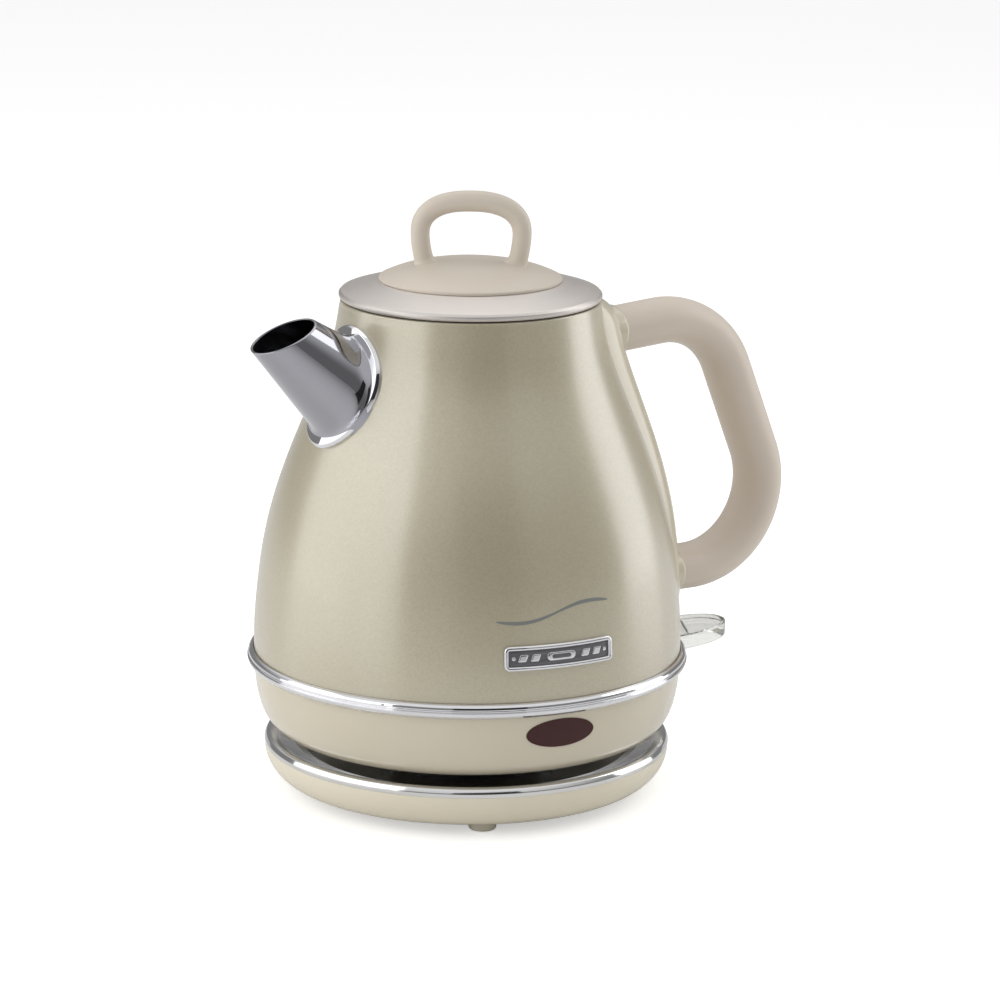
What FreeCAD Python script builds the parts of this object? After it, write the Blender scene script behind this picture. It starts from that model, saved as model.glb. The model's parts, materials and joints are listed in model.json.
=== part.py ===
import FreeCAD, Part
import math
import os
from FreeCAD import Vector

# A small electric kettle standing on its round base. Millimetres, +Z up.
# Origin: on the kettle's own axis, at the table. +X points to the handle, -X to the spout.

# ---- Clearances -------------------------------------------------------------------------
seat_gap = 0.3          # between pieces that move apart
fit_gap = 0.1           # between pieces of one body
running_gap = 0.05      # a pin or stem in its bore, on the radius

# ---- Base -------------------------------------------------------------------------------
base_radius = 74.2      # upper edge of the base tray
tray_wall = 2.2
tray_bottom_z = 3.3
tray_top_z = 16.1
foot_radius = 5.0
foot_circle = 58.0
foot_first_angle = 5.0
plate_sheet = 0.8
plate_crest_rise = 3.7      # rolled crest above the tray's edge
plate_recess_z = 15.5       # flat recess under the kettle
plate_recess_radius = 60.0
hub_radius = 26.0
hub_bottom_z = 1.2
hub_screw_circle = 20.0
post_inner_radius = 16.0
post_outer_radius = 24.0
tower_radius = 13.0
tower_height = 12.0         # above the kettle's floor
tower_flange_radius = 31.0
tower_flange_thickness = 2.2
collar_radius = 27.0
turn_ring_radius = 26.0
turn_ring_thickness = 2.3
cord_bore_radius = 3.2
cord_bore_length = 11.0
cord_height = 9.5

# ---- Contacts ---------------------------------------------------------------------------
earth_pin_radius = 2.2
live_ring_radius = 6.8      # middle of the ring's wall
neutral_ring_radius = 10.8
contact_wall = 0.8
slot_gap = 0.5              # between a contact and the walls of its slot
contact_block = 1.4

# ---- Kettle: floor, housing, body -------------------------------------------------------
floor_z = 22.0
housing_radius = 78.0
housing_top_z = 46.3
housing_wall = 2.2
trim_height = 5.7
trim_bulge = 2.5            # beyond the body's widest radius
trim_flange = 1.0
body_radius_max = 78.15
neck_radius = 46.97
body_top_z = 181.0
body_wall = 0.8
mouth_radius = neck_radius - 3.97       # opening that the lid drops into

# ---- Heater and controller --------------------------------------------------------------
heating_plate_z = 51.0
heating_plate_sheet = 1.0
heating_plate_rim = 3.0
spreader_radius = 55.0
spreader_thickness = 4.0
element_loop_radius = 42.0
element_radius = 3.25
element_opening = 28.0      # degrees left open between the element's two ends
socket_wall = 1.2
socket_flange_radius = 22.0
socket_ceiling = 1.0
controller_radius = 22.0
disc_radius = 6.0
disc_thickness = 0.8
housing_screw_circle = 32.0
housing_screw_radius = 1.8

# ---- Switch -----------------------------------------------------------------------------
lever_top_z = 45.5
lever_thickness = 5.5
lever_half_width = 12.0
lever_reach = 111.0
lever_groove_insets = (12.0, 4.0)    # from the lever's far end
lever_groove_radius = 0.9
lever_groove_rise = 0.3     # of the groove's centre above the lever's top
pivot_x = 70.0
pin_radius = 1.5
hub_wall = 1.4
hub_half_width = 8.0
cheek_thickness = 2.5
trip_arm_x = 54.0
trip_arm_drop = 4.25        # from the pivot down to the top of the inner arm
trip_arm_thickness = 3.0
trip_x = 50.0
trip_head_height = 2.6
trip_slot_reach = 3.0       # clear length of the lever's slot beyond the stem's axis
steam_tube_radius = 3.0
steam_tube_bore = 2.0
steam_tube_foot_x = pivot_x - 9.0
steam_tube_top_x = neck_radius - 3.97
steam_tube_top_z = body_top_z - 15.0
steam_disc_radius = 4.6

# ---- Indicator and badge ----------------------------------------------------------------
lens_azimuth = -95.5
lens_z = 39.5
lens_width = 26.0
lens_height = 10.4
lamp_radius = 3.0
badge_azimuth = -96.0
badge_z = 68.0
badge_width = 42.0
badge_height = 8.8
badge_rim = 1.8
badge_corner = 2.0

# ---- Spout and filter -------------------------------------------------------------------
spout_z = body_top_z - 28.4     # where the spout's axis meets the body
spout_seat_elevation = 19.0     # the body's outward normal there
spout_elevation = 39.75     # the spout's own axis
spout_taper = 12.65         # half angle of its cone
spout_root_radius = 18.1
spout_mouth_x = 76.8
spout_mouth_z = spout_z + 21.5
spout_mouth_elevation = 72.9    # the direction that the mouth faces
spout_wall = 1.0
spout_collar_radius = 22.2
spout_collar_height = 2.8
filter_half_width = 16.0
filter_half_height = 15.0
filter_thickness = 1.8
filter_rim = 2.4
filter_holder_rim = 3.4
filter_holder_depth = 6.5

# ---- Handle -----------------------------------------------------------------------------
handle_top_z = body_top_z - 15.7
handle_bottom_z = 69.8
handle_reach = 128.9        # farthest point of the grip's centreline
handle_bend = 31.0
handle_lean = 22.4          # degrees from upright
handle_half_thickness = 8.9
handle_half_width = 11.0
spine_bottom_z = 55.0
spine_top_z = body_top_z - 5.0
spine_half_width = 12.0
spine_depth = 9.5
spine_ramp = 11.0
boss_height = 2.2
boss_rim = 1.6

# ---- Lid --------------------------------------------------------------------------------
lid_radius = neck_radius + 0.53
lid_rim_z = body_top_z + 0.6
lid_rim_height = 2.6
lid_disc_radius = 33.0
lid_disc_z = lid_rim_z + 6.4
lid_dome_rise = 7.3
lid_sheet = 1.2
lid_skirt_depth = 9.0       # below the body's top
lid_skirt_wall = 1.6
lid_flange_radius = neck_radius - 1.17
lid_flange_thickness = 1.4
lid_turn = -33.0            # the loop's direction about the axis
loop_half_width = 19.0      # centreline, widest
loop_foot_half = 15.6
loop_top_z = lid_disc_z + 28.7  # centreline
loop_radius = 3.6
loop_bend = 15.0
loop_foot_height = 6.0
loop_foot_radius = 6.0

# ---- Values that follow -----------------------------------------------------------------
plate_top_z = tray_top_z + plate_crest_rise
collar_top_z = floor_z - turn_ring_thickness
tower_top_z = floor_z + tower_height
flange_low_z = plate_recess_z - plate_sheet - tower_flange_thickness
socket_radius = tower_radius + 2 * seat_gap
socket_top_z = tower_top_z + 1.5
controller_low_z = socket_top_z + socket_ceiling
body_foot_z = housing_top_z + trim_flange
spreader_low_z = heating_plate_z - spreader_thickness
disc_low_z = spreader_low_z - seat_gap - disc_thickness
pivot_z = lever_top_z - lever_thickness / 2
hub_top = pin_radius + running_gap + hub_wall
housing_floor_z = floor_z + housing_wall
trip_arm_top_z = pivot_z - trip_arm_drop
trip_low_z = trip_arm_top_z + seat_gap
steam_disc_z = pivot_z + 0.2
steam_tube_low_z = steam_disc_z + disc_thickness + seat_gap


# ---- Helpers ----------------------------------------------------------------------------
def lathe(points):
    """Solid of revolution about Z of a closed outline of (radius, z) points."""
    outline = Part.makePolygon([Vector(r, 0, z) for r, z in points + points[:1]])
    return Part.Face(outline).revolve(Vector(0, 0, 0), Vector(0, 0, 1), 360)


def curved_lathe(curve_points, rest):
    """As lathe, with a smooth curve through curve_points and straight lines through rest."""
    curve = Part.BSplineCurve()
    curve.interpolate([Vector(r, 0, z) for r, z in curve_points])
    corners = [curve_points[-1]] + rest + [curve_points[0]]
    lines = [Part.makeLine(Vector(a[0], 0, a[1]), Vector(b[0], 0, b[1]))
             for a, b in zip(corners, corners[1:])]
    face = Part.Face(Part.Wire([curve.toShape()] + lines))
    return face.revolve(Vector(0, 0, 0), Vector(0, 0, 1), 360)


def disc(radius, low, high, x=0.0, y=0.0):
    return Part.makeCylinder(radius, high - low, Vector(x, y, low))


def tube(inner, outer, low, high, x=0.0, y=0.0):
    return disc(outer, low, high, x, y).cut(disc(inner, low, high, x, y))


def block(x_low, x_high, half_width, low, high):
    return Part.makeBox(x_high - x_low, 2 * half_width, high - low, Vector(x_low, -half_width, low))


def turned(shape, degrees):
    copy = shape.copy()
    copy.rotate(Vector(0, 0, 0), Vector(0, 0, 1), degrees)
    return copy


def around(radius, degrees):
    return radius * math.cos(math.radians(degrees)), radius * math.sin(math.radians(degrees))


def fused(shapes):
    return shapes[0].multiFuse(shapes[1:]).removeSplitter()


def rounded_prism(x_low, x_high, width, height, corner, z):
    """Bar along +X with a rounded rectangle for its section, centred on height z."""
    bar = Part.makeBox(x_high - x_low, width, height, Vector(x_low, -width / 2, z - height / 2))
    along = [edge for edge in bar.Edges if abs(edge.tangentAt(edge.FirstParameter).x) > 0.9]
    return bar.makeFillet(corner, along)


def oval_prism(x_low, x_high, half_width, half_height, z):
    """Bar along +X with an oval section, centred on height z."""
    long_end = Vector(x_low, half_width, z)
    short_end = Vector(x_low, 0, z + half_height)
    if half_height > half_width:
        long_end, short_end = short_end, long_end
    oval = Part.Ellipse(long_end, short_end, Vector(x_low, 0, z))
    face = Part.Face(Part.Wire([oval.toShape()]))
    return face.extrude(Vector(x_high - x_low, 0, 0))


def bent_bar(corners, bend, half_thickness, half_width):
    """Bar of oval section in the XZ plane: straight runs joined by tangent arcs."""
    def section(point, direction):
        long_end = Vector(0, half_width, 0)
        short_end = Vector(half_thickness, 0, 0)
        oval = Part.Ellipse(long_end, short_end, Vector(0, 0, 0))
        if half_thickness >= half_width:
            oval = Part.Circle(Vector(0, 0, 0), Vector(0, 0, 1), half_thickness)
        face = Part.Face(Part.Wire([oval.toShape()]))
        side = Vector(0, 1, 0).cross(direction)
        face.Placement = FreeCAD.Placement(
            point, FreeCAD.Rotation(side, Vector(0, 1, 0), direction, "ZXY"))
        return face

    points = [Vector(x, 0, z) for x, z in corners]
    pieces = []
    start = points[0]
    for before, corner, after in zip(points, points[1:], points[2:]):
        heading = (corner - before).normalize()
        leaving = (after - corner).normalize()
        turn = heading.getAngle(leaving)
        side = -1 if heading.cross(leaving).y < 0 else 1
        tangent = bend * math.tan(turn / 2)
        arc_start = corner - heading * tangent
        pieces.append(section(start, heading).extrude(arc_start - start))
        centre = arc_start + Vector(0, 1, 0).cross(heading) * (side * bend)
        pieces.append(section(arc_start, heading).revolve(
            centre, Vector(0, side, 0), math.degrees(turn)))
        start = corner + leaving * tangent
    heading = (points[-1] - start).normalize()
    pieces.append(section(start, heading).extrude(points[-1] - start))
    return fused(pieces)


# ---- Body outline -----------------------------------------------------------------------
# Share of the body's height against share of its flare: upright foot, bell, waisted neck.
bell = [(0.000, 1.000), (0.095, 1.000), (0.207, 0.964), (0.319, 0.901), (0.432, 0.794),
        (0.544, 0.641), (0.656, 0.453), (0.768, 0.256), (0.880, 0.092), (1.000, 0.000)]


def body_outline(offset):
    height = body_top_z - body_foot_z
    flare = body_radius_max - neck_radius
    return [(neck_radius + flare * wide + offset, body_foot_z + height * up) for up, wide in bell]


def body_solid(offset):
    """The body's outer form, grown outwards by offset, as a full solid."""
    return curved_lathe(body_outline(offset), [(0, body_top_z), (0, body_foot_z)])


body_curve = Part.BSplineCurve()
body_curve.interpolate([Vector(r, 0, z) for r, z in body_outline(0)])


def body_radius(z):
    low, high = body_curve.FirstParameter, body_curve.LastParameter
    for _ in range(40):
        middle = (low + high) / 2
        if body_curve.value(middle).z < z:
            low = middle
        else:
            high = middle
    return body_curve.value(low).x


# Inset from the housing's radius against share of its height: a bowl with a flat floor.
bowl = [(0.0, 1.00), (0.2, 0.82), (0.6, 0.67), (1.4, 0.51), (2.5, 0.36), (4.4, 0.21),
        (7.5, 0.085), (11.0, 0.02), (14.0, 0.0)]


def bowl_solid(radius, low, high):
    curve = [(radius - inset, low + (high - low) * share) for inset, share in bowl]
    return curved_lathe(curve, [(0, low), (0, high)])


def housing_inside():
    return bowl_solid(housing_radius - housing_wall - fit_gap, housing_floor_z + fit_gap, housing_top_z)


# ---- Base -------------------------------------------------------------------------------
def base_tray():
    rise = tray_top_z - tray_bottom_z
    side = [(base_radius, tray_top_z), (base_radius - 0.9, tray_bottom_z + 0.60 * rise),
            (base_radius - 3.7, tray_bottom_z + 0.27 * rise),
            (base_radius - 6.7, tray_bottom_z + 0.09 * rise), (base_radius - 12.2, tray_bottom_z)]
    inner = [(r - tray_wall, z + (tray_wall if z < tray_top_z else 0.1)) for r, z in side]
    inner = [(r, min(z, tray_top_z + 0.1)) for r, z in inner]
    tray = curved_lathe(side, [(0, tray_bottom_z), (0, tray_top_z)])
    tray = tray.cut(curved_lathe(inner, [(0, tray_bottom_z + tray_wall), (0, tray_top_z + 0.1)]))
    post = disc(post_outer_radius, tray_bottom_z + tray_wall, flange_low_z)
    tray = tray.fuse(post).cut(disc(post_inner_radius, tray_bottom_z - 1, flange_low_z + 1))
    for angle in hub_screw_angles:
        x, y = around(hub_screw_circle, angle)
        tray = tray.cut(disc(1.5, tray_bottom_z - 1, flange_low_z + 1, x, y))
    gland_hole = Part.makeCylinder(cord_shank_radius + fit_gap, 20,
                                   Vector(0, base_radius - 12, cord_height), Vector(0, 1, 0))
    return tray.cut(gland_hole).removeSplitter()


hub_screw_angles = [30, 150, 270]
cord_shank_radius = cord_bore_radius + 1.6


def base_plate():
    edge = base_radius
    low = tray_top_z
    top = [(edge, low), (edge + 0.3, low + 1.5), (edge - 0.5, low + 3.1), (edge - 1.9, plate_top_z),
           (edge - 4.4, plate_top_z - 0.7), (plate_recess_radius + 3, plate_recess_z + 0.6),
           (plate_recess_radius, plate_recess_z)]
    hole = collar_radius + fit_gap
    under = [(hole, plate_recess_z), (hole, plate_recess_z - plate_sheet),
             (plate_recess_radius, plate_recess_z - plate_sheet),
             (edge - 4.8, plate_top_z - 0.7 - plate_sheet), (edge - 1.9, plate_top_z - plate_sheet),
             (edge - plate_sheet, low)]
    return curved_lathe(top, under)


def base_hub_cover():
    cover = disc(hub_radius, hub_bottom_z, tray_bottom_z)
    for angle in hub_screw_angles:
        x, y = around(hub_screw_circle, angle)
        cover = cover.cut(disc(3.0, hub_bottom_z - 1, hub_bottom_z + 1.2, x, y))
        cover = cover.cut(disc(1.5, hub_bottom_z, tray_bottom_z + 1, x, y))
    return cover


def base_screw(angle):
    x, y = around(hub_screw_circle, angle)
    head = disc(2.8, hub_bottom_z + 0.3, hub_bottom_z + 1.2, x, y)
    shank = disc(1.4, hub_bottom_z + 1.2, flange_low_z - fit_gap, x, y)
    slot = Part.makeBox(8, 0.7, 0.5, Vector(x - 4, y - 0.35, hub_bottom_z + 0.2))
    return head.fuse(shank).cut(slot).removeSplitter()


def foot(index):
    x, y = around(foot_circle, foot_first_angle + 120 * index)
    pad = disc(foot_radius, 0, tray_bottom_z, x, y)
    rim = [edge for edge in pad.Edges if edge.BoundBox.ZMax < 0.1 and edge.Closed]
    return pad.makeFillet(0.8, rim)


def slot_pair(radius):
    """Inner and outer radius of the round slot that takes a ring contact."""
    reach = contact_wall / 2 + slot_gap
    return radius - reach, radius + reach


def connector_tower():
    tower = disc(tower_radius, flange_low_z, tower_top_z)
    rim = [edge for edge in tower.Edges if edge.BoundBox.ZMin > tower_top_z - 0.1 and edge.Closed]
    tower = tower.makeChamfer(0.8, rim)
    tower = tower.fuse(disc(collar_radius, flange_low_z, collar_top_z))
    tower = tower.fuse(disc(tower_flange_radius, flange_low_z, plate_recess_z - plate_sheet))
    for radius in (live_ring_radius, neutral_ring_radius):
        inner, outer = slot_pair(radius)
        tower = tower.cut(tube(inner, outer, floor_z, tower_top_z + 1))
    return tower.cut(disc(earth_pin_radius + slot_gap, floor_z, tower_top_z + 1)).removeSplitter()


def base_ring_contact(radius):
    inner, outer = slot_pair(radius)
    return tube(inner + fit_gap, outer - fit_gap, floor_z, floor_z + contact_block)


def base_earth_contact():
    return disc(earth_pin_radius + slot_gap - fit_gap, floor_z, floor_z + contact_block)


def cord_gland():
    start = base_radius - 6.0
    shank = Part.makeCylinder(cord_shank_radius, cord_bore_length - 2.5,
                              Vector(0, start, cord_height), Vector(0, 1, 0))
    flange = Part.makeCylinder(cord_shank_radius + 1.0, 2.5,
                               Vector(0, start + cord_bore_length - 2.5, cord_height), Vector(0, 1, 0))
    bore = Part.makeCylinder(cord_bore_radius, cord_bore_length,
                             Vector(0, start, cord_height), Vector(0, 1, 0))
    return shank.fuse(flange).cut(bore).removeSplitter()


def cord_clamp():
    """Bridge that holds the cord's sheath, screwed to the tray's floor behind the gland."""
    low = tray_bottom_z + tray_wall
    high = plate_recess_z - plate_sheet - fit_gap
    behind = base_radius - 22.0
    bridge = Part.makeBox(18, 8, high - low, Vector(-9, behind, low))
    channel = Part.makeCylinder(cord_bore_radius, 10, Vector(0, behind - 1, cord_height), Vector(0, 1, 0))
    return bridge.cut(channel)


def turn_ring():
    return tube(tower_radius + seat_gap, turn_ring_radius, collar_top_z, floor_z)


# ---- Kettle: body and housing -----------------------------------------------------------
def outwards(elevation):
    """Direction on the spout's side, raised by elevation above level."""
    angle = math.radians(elevation)
    return Vector(-math.cos(angle), 0, math.sin(angle))


def spout_root():
    return Vector(-body_radius(spout_z), 0, spout_z)


def spout_seat_rod(radius, inwards, outward):
    """Round bar square to the body at the spout's root."""
    axis = outwards(spout_seat_elevation)
    return Part.makeCylinder(radius, inwards + outward, spout_root() - axis * inwards, axis)


def spout_cone(grow, inwards):
    """The spout's tapered form, grown by grow, from inside the body to past its mouth."""
    axis = outwards(spout_elevation)
    slope = math.tan(math.radians(spout_taper))
    outward = 50.0
    low_radius = spout_root_radius + grow + inwards * slope
    high_radius = spout_root_radius + grow - outward * slope
    return Part.makeCone(low_radius, high_radius, inwards + outward, spout_root() - axis * inwards, axis)


def body_shell():
    inner = body_outline(-body_wall)
    top_z = body_top_z - body_wall
    outer = body_solid(0)
    hollow = curved_lathe(inner[:-1] + [(inner[-1][0], top_z)], [(0, top_z), (0, body_foot_z)])
    shell = outer.cut(hollow).cut(disc(mouth_radius, top_z - 1, body_top_z + 1))
    return shell.cut(spout_cone(-spout_wall, 14))


def body_trim_ring():
    inner = body_radius_max + seat_gap
    low = housing_top_z
    high = low + trim_height
    outer = body_radius_max + trim_bulge
    middle = low + 0.52 * trim_height
    return lathe([(inner - 3.2, low), (inner, low), (outer - 1.2, low + 0.5), (outer - 0.3, low + 1.4),
                  (outer, low + 2.2), (outer, middle - 0.2), (outer - 0.5, middle),
                  (outer - 0.5, middle + 0.3), (outer - 0.4, middle + 1.1),
                  (outer - 0.9, high - 0.7), (outer - 1.7, high - 0.1), (inner, high),
                  (inner, body_foot_z), (inner - 3.2, body_foot_z)])


def lower_housing():
    shell = bowl_solid(housing_radius, floor_z, housing_top_z)
    shell = shell.cut(bowl_solid(housing_radius - housing_wall, housing_floor_z, housing_top_z + 0.5))
    shell = shell.cut(disc(socket_outer + fit_gap, floor_z - 1, housing_floor_z + 1))
    for angle in housing_screw_angles:
        x, y = around(housing_screw_circle, angle)
        shell = shell.cut(disc(3.4, floor_z - 1, floor_z + 1.2, x, y))
        shell = shell.cut(disc(housing_screw_radius + fit_gap, floor_z, housing_floor_z + 1, x, y))
    notch_low = lever_top_z - lever_thickness - 2.2
    shell = shell.cut(block(66, housing_radius + 5, lever_half_width + 0.6, notch_low, housing_top_z + 1))
    window = oval_prism(60, 90, lens_width / 2 + fit_gap, lens_height / 2 + fit_gap, lens_z)
    return shell.cut(turned(window, lens_azimuth)).removeSplitter()


socket_outer = socket_radius + socket_wall
housing_screw_angles = [60, 180, 300]


def housing_screw(angle):
    x, y = around(housing_screw_circle, angle)
    head = disc(3.1, floor_z + 0.2, floor_z + 1.2, x, y)
    shank = disc(housing_screw_radius, floor_z + 1.2, spreader_low_z - fit_gap, x, y)
    slot = Part.makeBox(8, 0.8, 0.5, Vector(x - 4, y - 0.4, floor_z + 0.1))
    return head.fuse(shank).cut(slot).removeSplitter()


# ---- Kettle: heater and controller ------------------------------------------------------
def steam_line(low, high, radius):
    """Round bar along the steam tube's slanted axis, between two heights."""
    lean = (steam_tube_top_x - steam_tube_foot_x) / (steam_tube_top_z - steam_tube_low_z)
    foot_point = Vector(steam_tube_foot_x + lean * (low - steam_tube_low_z), 0, low)
    head_point = Vector(steam_tube_foot_x + lean * (high - steam_tube_low_z), 0, high)
    along = head_point - foot_point
    return Part.makeCylinder(radius, along.Length, foot_point, along)


def heating_plate():
    radius = body_radius(heating_plate_z) - body_wall - fit_gap
    top = heating_plate_z + heating_plate_sheet
    low = heating_plate_z - heating_plate_rim
    plate = lathe([(0, top), (radius, top), (radius, low), (radius - heating_plate_sheet, low),
                   (radius - heating_plate_sheet, heating_plate_z), (0, heating_plate_z)])
    return plate.cut(steam_line(low - 5, top + 5, steam_tube_radius + fit_gap))


def heat_spreader():
    return disc(spreader_radius, spreader_low_z, heating_plate_z)


def heating_element():
    centre_z = spreader_low_z - element_radius - fit_gap
    section = Part.Face(Part.Wire([Part.Circle(Vector(element_loop_radius, 0, centre_z),
                                               Vector(0, 1, 0), element_radius).toShape()]))
    loop = section.revolve(Vector(0, 0, 0), Vector(0, 0, 1), 360 - element_opening)
    loop = turned(loop, 180 + element_opening / 2)
    pieces = [loop]
    for side in (-1, 1):
        angle = 180 + side * (element_opening / 2 + 4)
        x, y = around(controller_radius + 0.4, angle)
        tail = Part.makeCylinder(1.6, element_loop_radius - controller_radius - 0.4,
                                 Vector(x, y, centre_z), Vector(x, y, 0))
        pieces.append(tail)
    return fused(pieces)


def kettle_socket():
    """Cup in the kettle's floor that drops over the base's tower."""
    cup = disc(socket_outer, floor_z, controller_low_z)
    cup = cup.fuse(disc(socket_flange_radius, housing_floor_z, housing_floor_z + 2))
    return cup.cut(disc(socket_radius, floor_z - 1, socket_top_z)).removeSplitter()


def kettle_earth_pin():
    low = floor_z + contact_block + seat_gap
    pin = disc(earth_pin_radius, low, socket_top_z)
    tip = [edge for edge in pin.Edges if edge.BoundBox.ZMax < low + 0.1 and edge.Closed]
    return pin.makeFillet(1.2, tip)


def kettle_ring_contact(radius):
    low = floor_z + contact_block + seat_gap
    return tube(radius - contact_wall / 2, radius + contact_wall / 2, low, socket_top_z)


def controller_body():
    top = disc_low_z - fit_gap
    body = disc(controller_radius, controller_low_z, top)
    flat = 0.82 * controller_radius
    return body.common(block(-controller_radius, controller_radius, flat, controller_low_z, top))


def dry_boil_disc(side):
    return disc(disc_radius, disc_low_z, disc_low_z + disc_thickness, 0, side * 0.45 * controller_radius)


# ---- Kettle: switch ---------------------------------------------------------------------
def pivot_rod(radius, half_length):
    start = Vector(pivot_x, -half_length, pivot_z)
    return Part.makeCylinder(radius, 2 * half_length, start, Vector(0, 1, 0))


def switch_frame():
    """Two cheeks that carry the lever's pin, a shelf for the steam disc, a guide for the stem."""
    inside = hub_half_width + 0.5
    outside = inside + cheek_thickness
    low = housing_floor_z + fit_gap
    high = housing_top_z - fit_gap
    profile = [(57, low), (66, low), (66, low + 8.6), (pivot_x + 3.2, low + 13.6), (pivot_x + 3.2, high),
               (57, high)]
    polygon = Part.makePolygon([Vector(x, -outside, z) for x, z in profile + profile[:1]])
    cheeks = Part.Face(polygon).extrude(Vector(0, 2 * outside, 0))
    cheeks = cheeks.cut(block(40, 90, inside, low - 1, high + 1))
    sole = block(trip_x - 4, 66, outside, low, low + 2)
    shelf = block(steam_tube_foot_x - steam_disc_radius, steam_tube_foot_x + steam_disc_radius,
                  outside, steam_disc_z - 1.1, steam_disc_z - fit_gap)
    guide = disc(3.2, low, low + 9.6, trip_x)
    frame = fused([cheeks, sole, shelf, guide])
    frame = frame.cut(disc(pin_radius + running_gap, low + 2, low + 20, trip_x))
    return frame.cut(pivot_rod(pin_radius, outside + 1)).common(housing_inside()).removeSplitter()


def lever_pin():
    return pivot_rod(pin_radius, hub_half_width + 0.5 + cheek_thickness)


def steam_disc():
    return disc(steam_disc_radius - 0.2, steam_disc_z, steam_disc_z + disc_thickness, steam_tube_foot_x)


def steam_tube():
    outer = steam_line(steam_tube_low_z - 1, steam_tube_top_z, steam_tube_radius)
    pipe = outer.cut(steam_line(steam_tube_low_z - 2, steam_tube_top_z + 1, steam_tube_bore))
    return pipe.cut(disc(2 * steam_tube_radius, steam_tube_low_z - 3, steam_tube_low_z, steam_tube_foot_x))


def switch_lever():
    low = lever_top_z - lever_thickness
    root = pivot_x + 4.6
    paddle = block(root, lever_reach, lever_half_width, low, lever_top_z)
    tips = [edge for edge in paddle.Edges
            if abs(edge.tangentAt(edge.FirstParameter).z) > 0.9 and edge.BoundBox.XMin > lever_reach - 1]
    paddle = paddle.makeFillet(0.8 * lever_half_width, tips)
    for inset in lever_groove_insets:
        start = Vector(lever_reach - inset, -lever_half_width, lever_top_z + lever_groove_rise)
        groove = Part.makeCylinder(lever_groove_radius, 2 * lever_half_width, start, Vector(0, 1, 0))
        paddle = paddle.cut(groove)
    hub = pivot_rod(hub_top, hub_half_width)
    neck = block(pivot_x, root + 1, hub_half_width, low, lever_top_z)
    arm_low_z = trip_arm_top_z - trip_arm_thickness
    web = block(pivot_x - 2.8, pivot_x + 2.8, hub_half_width - 3, arm_low_z, pivot_z)
    arm = block(trip_arm_x - 3, pivot_x, 3.0, arm_low_z, trip_arm_top_z)
    lever = fused([paddle, hub, neck, web, arm])
    lever = lever.cut(block(trip_arm_x - 4, trip_x + trip_slot_reach, 1.0 + pin_radius, 0, 100))
    return lever.cut(pivot_rod(pin_radius + running_gap, hub_half_width + 1)).removeSplitter()


def trip_link():
    """Contact carrier that the lever's inner arm lifts; its stem slides in the guide."""
    head = block(trip_x - 3, steam_tube_foot_x - steam_disc_radius - 0.6, 5.0, trip_low_z,
                 trip_low_z + trip_head_height)
    stem = disc(pin_radius, housing_floor_z + 4.0, trip_low_z, trip_x)
    return head.fuse(stem).removeSplitter()


# ---- Kettle: indicator and badge --------------------------------------------------------
def indicator_lens():
    prism = turned(oval_prism(60, 90, lens_width / 2, lens_height / 2, lens_z), lens_azimuth)
    skin = bowl_solid(housing_radius + 0.5, floor_z, housing_top_z)
    skin = skin.cut(bowl_solid(housing_radius - housing_wall, floor_z, housing_top_z + 0.5))
    return prism.common(skin)


def lamp_holder():
    stand = block(housing_radius - 14, housing_radius - 8, 6, housing_floor_z, lens_z - lamp_radius)
    return turned(stand.common(housing_inside()), lens_azimuth)


def indicator_lamp():
    lamp = Part.makeCylinder(lamp_radius, 9, Vector(housing_radius - 14.5, 0, lens_z), Vector(1, 0, 0))
    return turned(lamp, lens_azimuth)


def on_body(prism, low, high):
    return prism.common(body_solid(high)).cut(body_solid(low))


def badge_opening(shrink):
    inner_height = badge_height - 2 * badge_rim - 2 * shrink
    inner_width = badge_width - 2 * badge_rim - 2 * shrink
    return rounded_prism(60, 90, inner_width, inner_height, badge_corner - 1, badge_z)


def badge_frame():
    outer = rounded_prism(60, 90, badge_width, badge_height, badge_corner, badge_z)
    return turned(on_body(outer.cut(badge_opening(0)), fit_gap, 1.5), badge_azimuth)


def badge_plate():
    return turned(on_body(badge_opening(fit_gap), fit_gap, 0.8), badge_azimuth)


# ---- Kettle: spout and filter -----------------------------------------------------------
def spout_tube():
    tube_solid = spout_cone(0, 12).cut(spout_cone(-spout_wall, 13))
    mouth = Vector(-spout_mouth_x, 0, spout_mouth_z)
    past_mouth = Part.makeCylinder(60, 60, mouth, outwards(spout_mouth_elevation))
    return tube_solid.cut(past_mouth).cut(body_solid(fit_gap))


def spout_collar():
    band = on_body(spout_seat_rod(spout_collar_radius, 10, 20), fit_gap, spout_collar_height)
    return band.cut(spout_cone(fit_gap, 20))


def filter_block(half_width, half_height, inner_depth, outer_depth):
    """Block square to the spout's root, between two depths measured inwards from the body."""
    axis = outwards(spout_seat_elevation)
    box = Part.makeBox(outer_depth - inner_depth, 2 * half_width, 2 * half_height,
                       Vector(inner_depth, -half_width, -half_height))
    box.Placement = FreeCAD.Placement(
        spout_root(), FreeCAD.Rotation(axis * -1, Vector(0, -1, 0), Vector(0, 0, 0), "XYZ"))
    return box


def filter_holder():
    outer = filter_block(filter_half_width + filter_holder_rim, filter_half_height + filter_holder_rim,
                         -8, filter_holder_depth + filter_thickness)
    clear = filter_block(filter_half_width, filter_half_height, -9, 30)
    return outer.cut(clear).common(body_solid(-body_wall - fit_gap))


def filter_frame():
    outer = filter_block(filter_half_width - seat_gap, filter_half_height - seat_gap,
                         filter_holder_depth, filter_holder_depth + filter_thickness)
    inner = filter_block(filter_half_width - filter_rim, filter_half_height - filter_rim,
                         filter_holder_depth - 1, filter_holder_depth + filter_thickness + 1)
    return outer.cut(inner)


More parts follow.
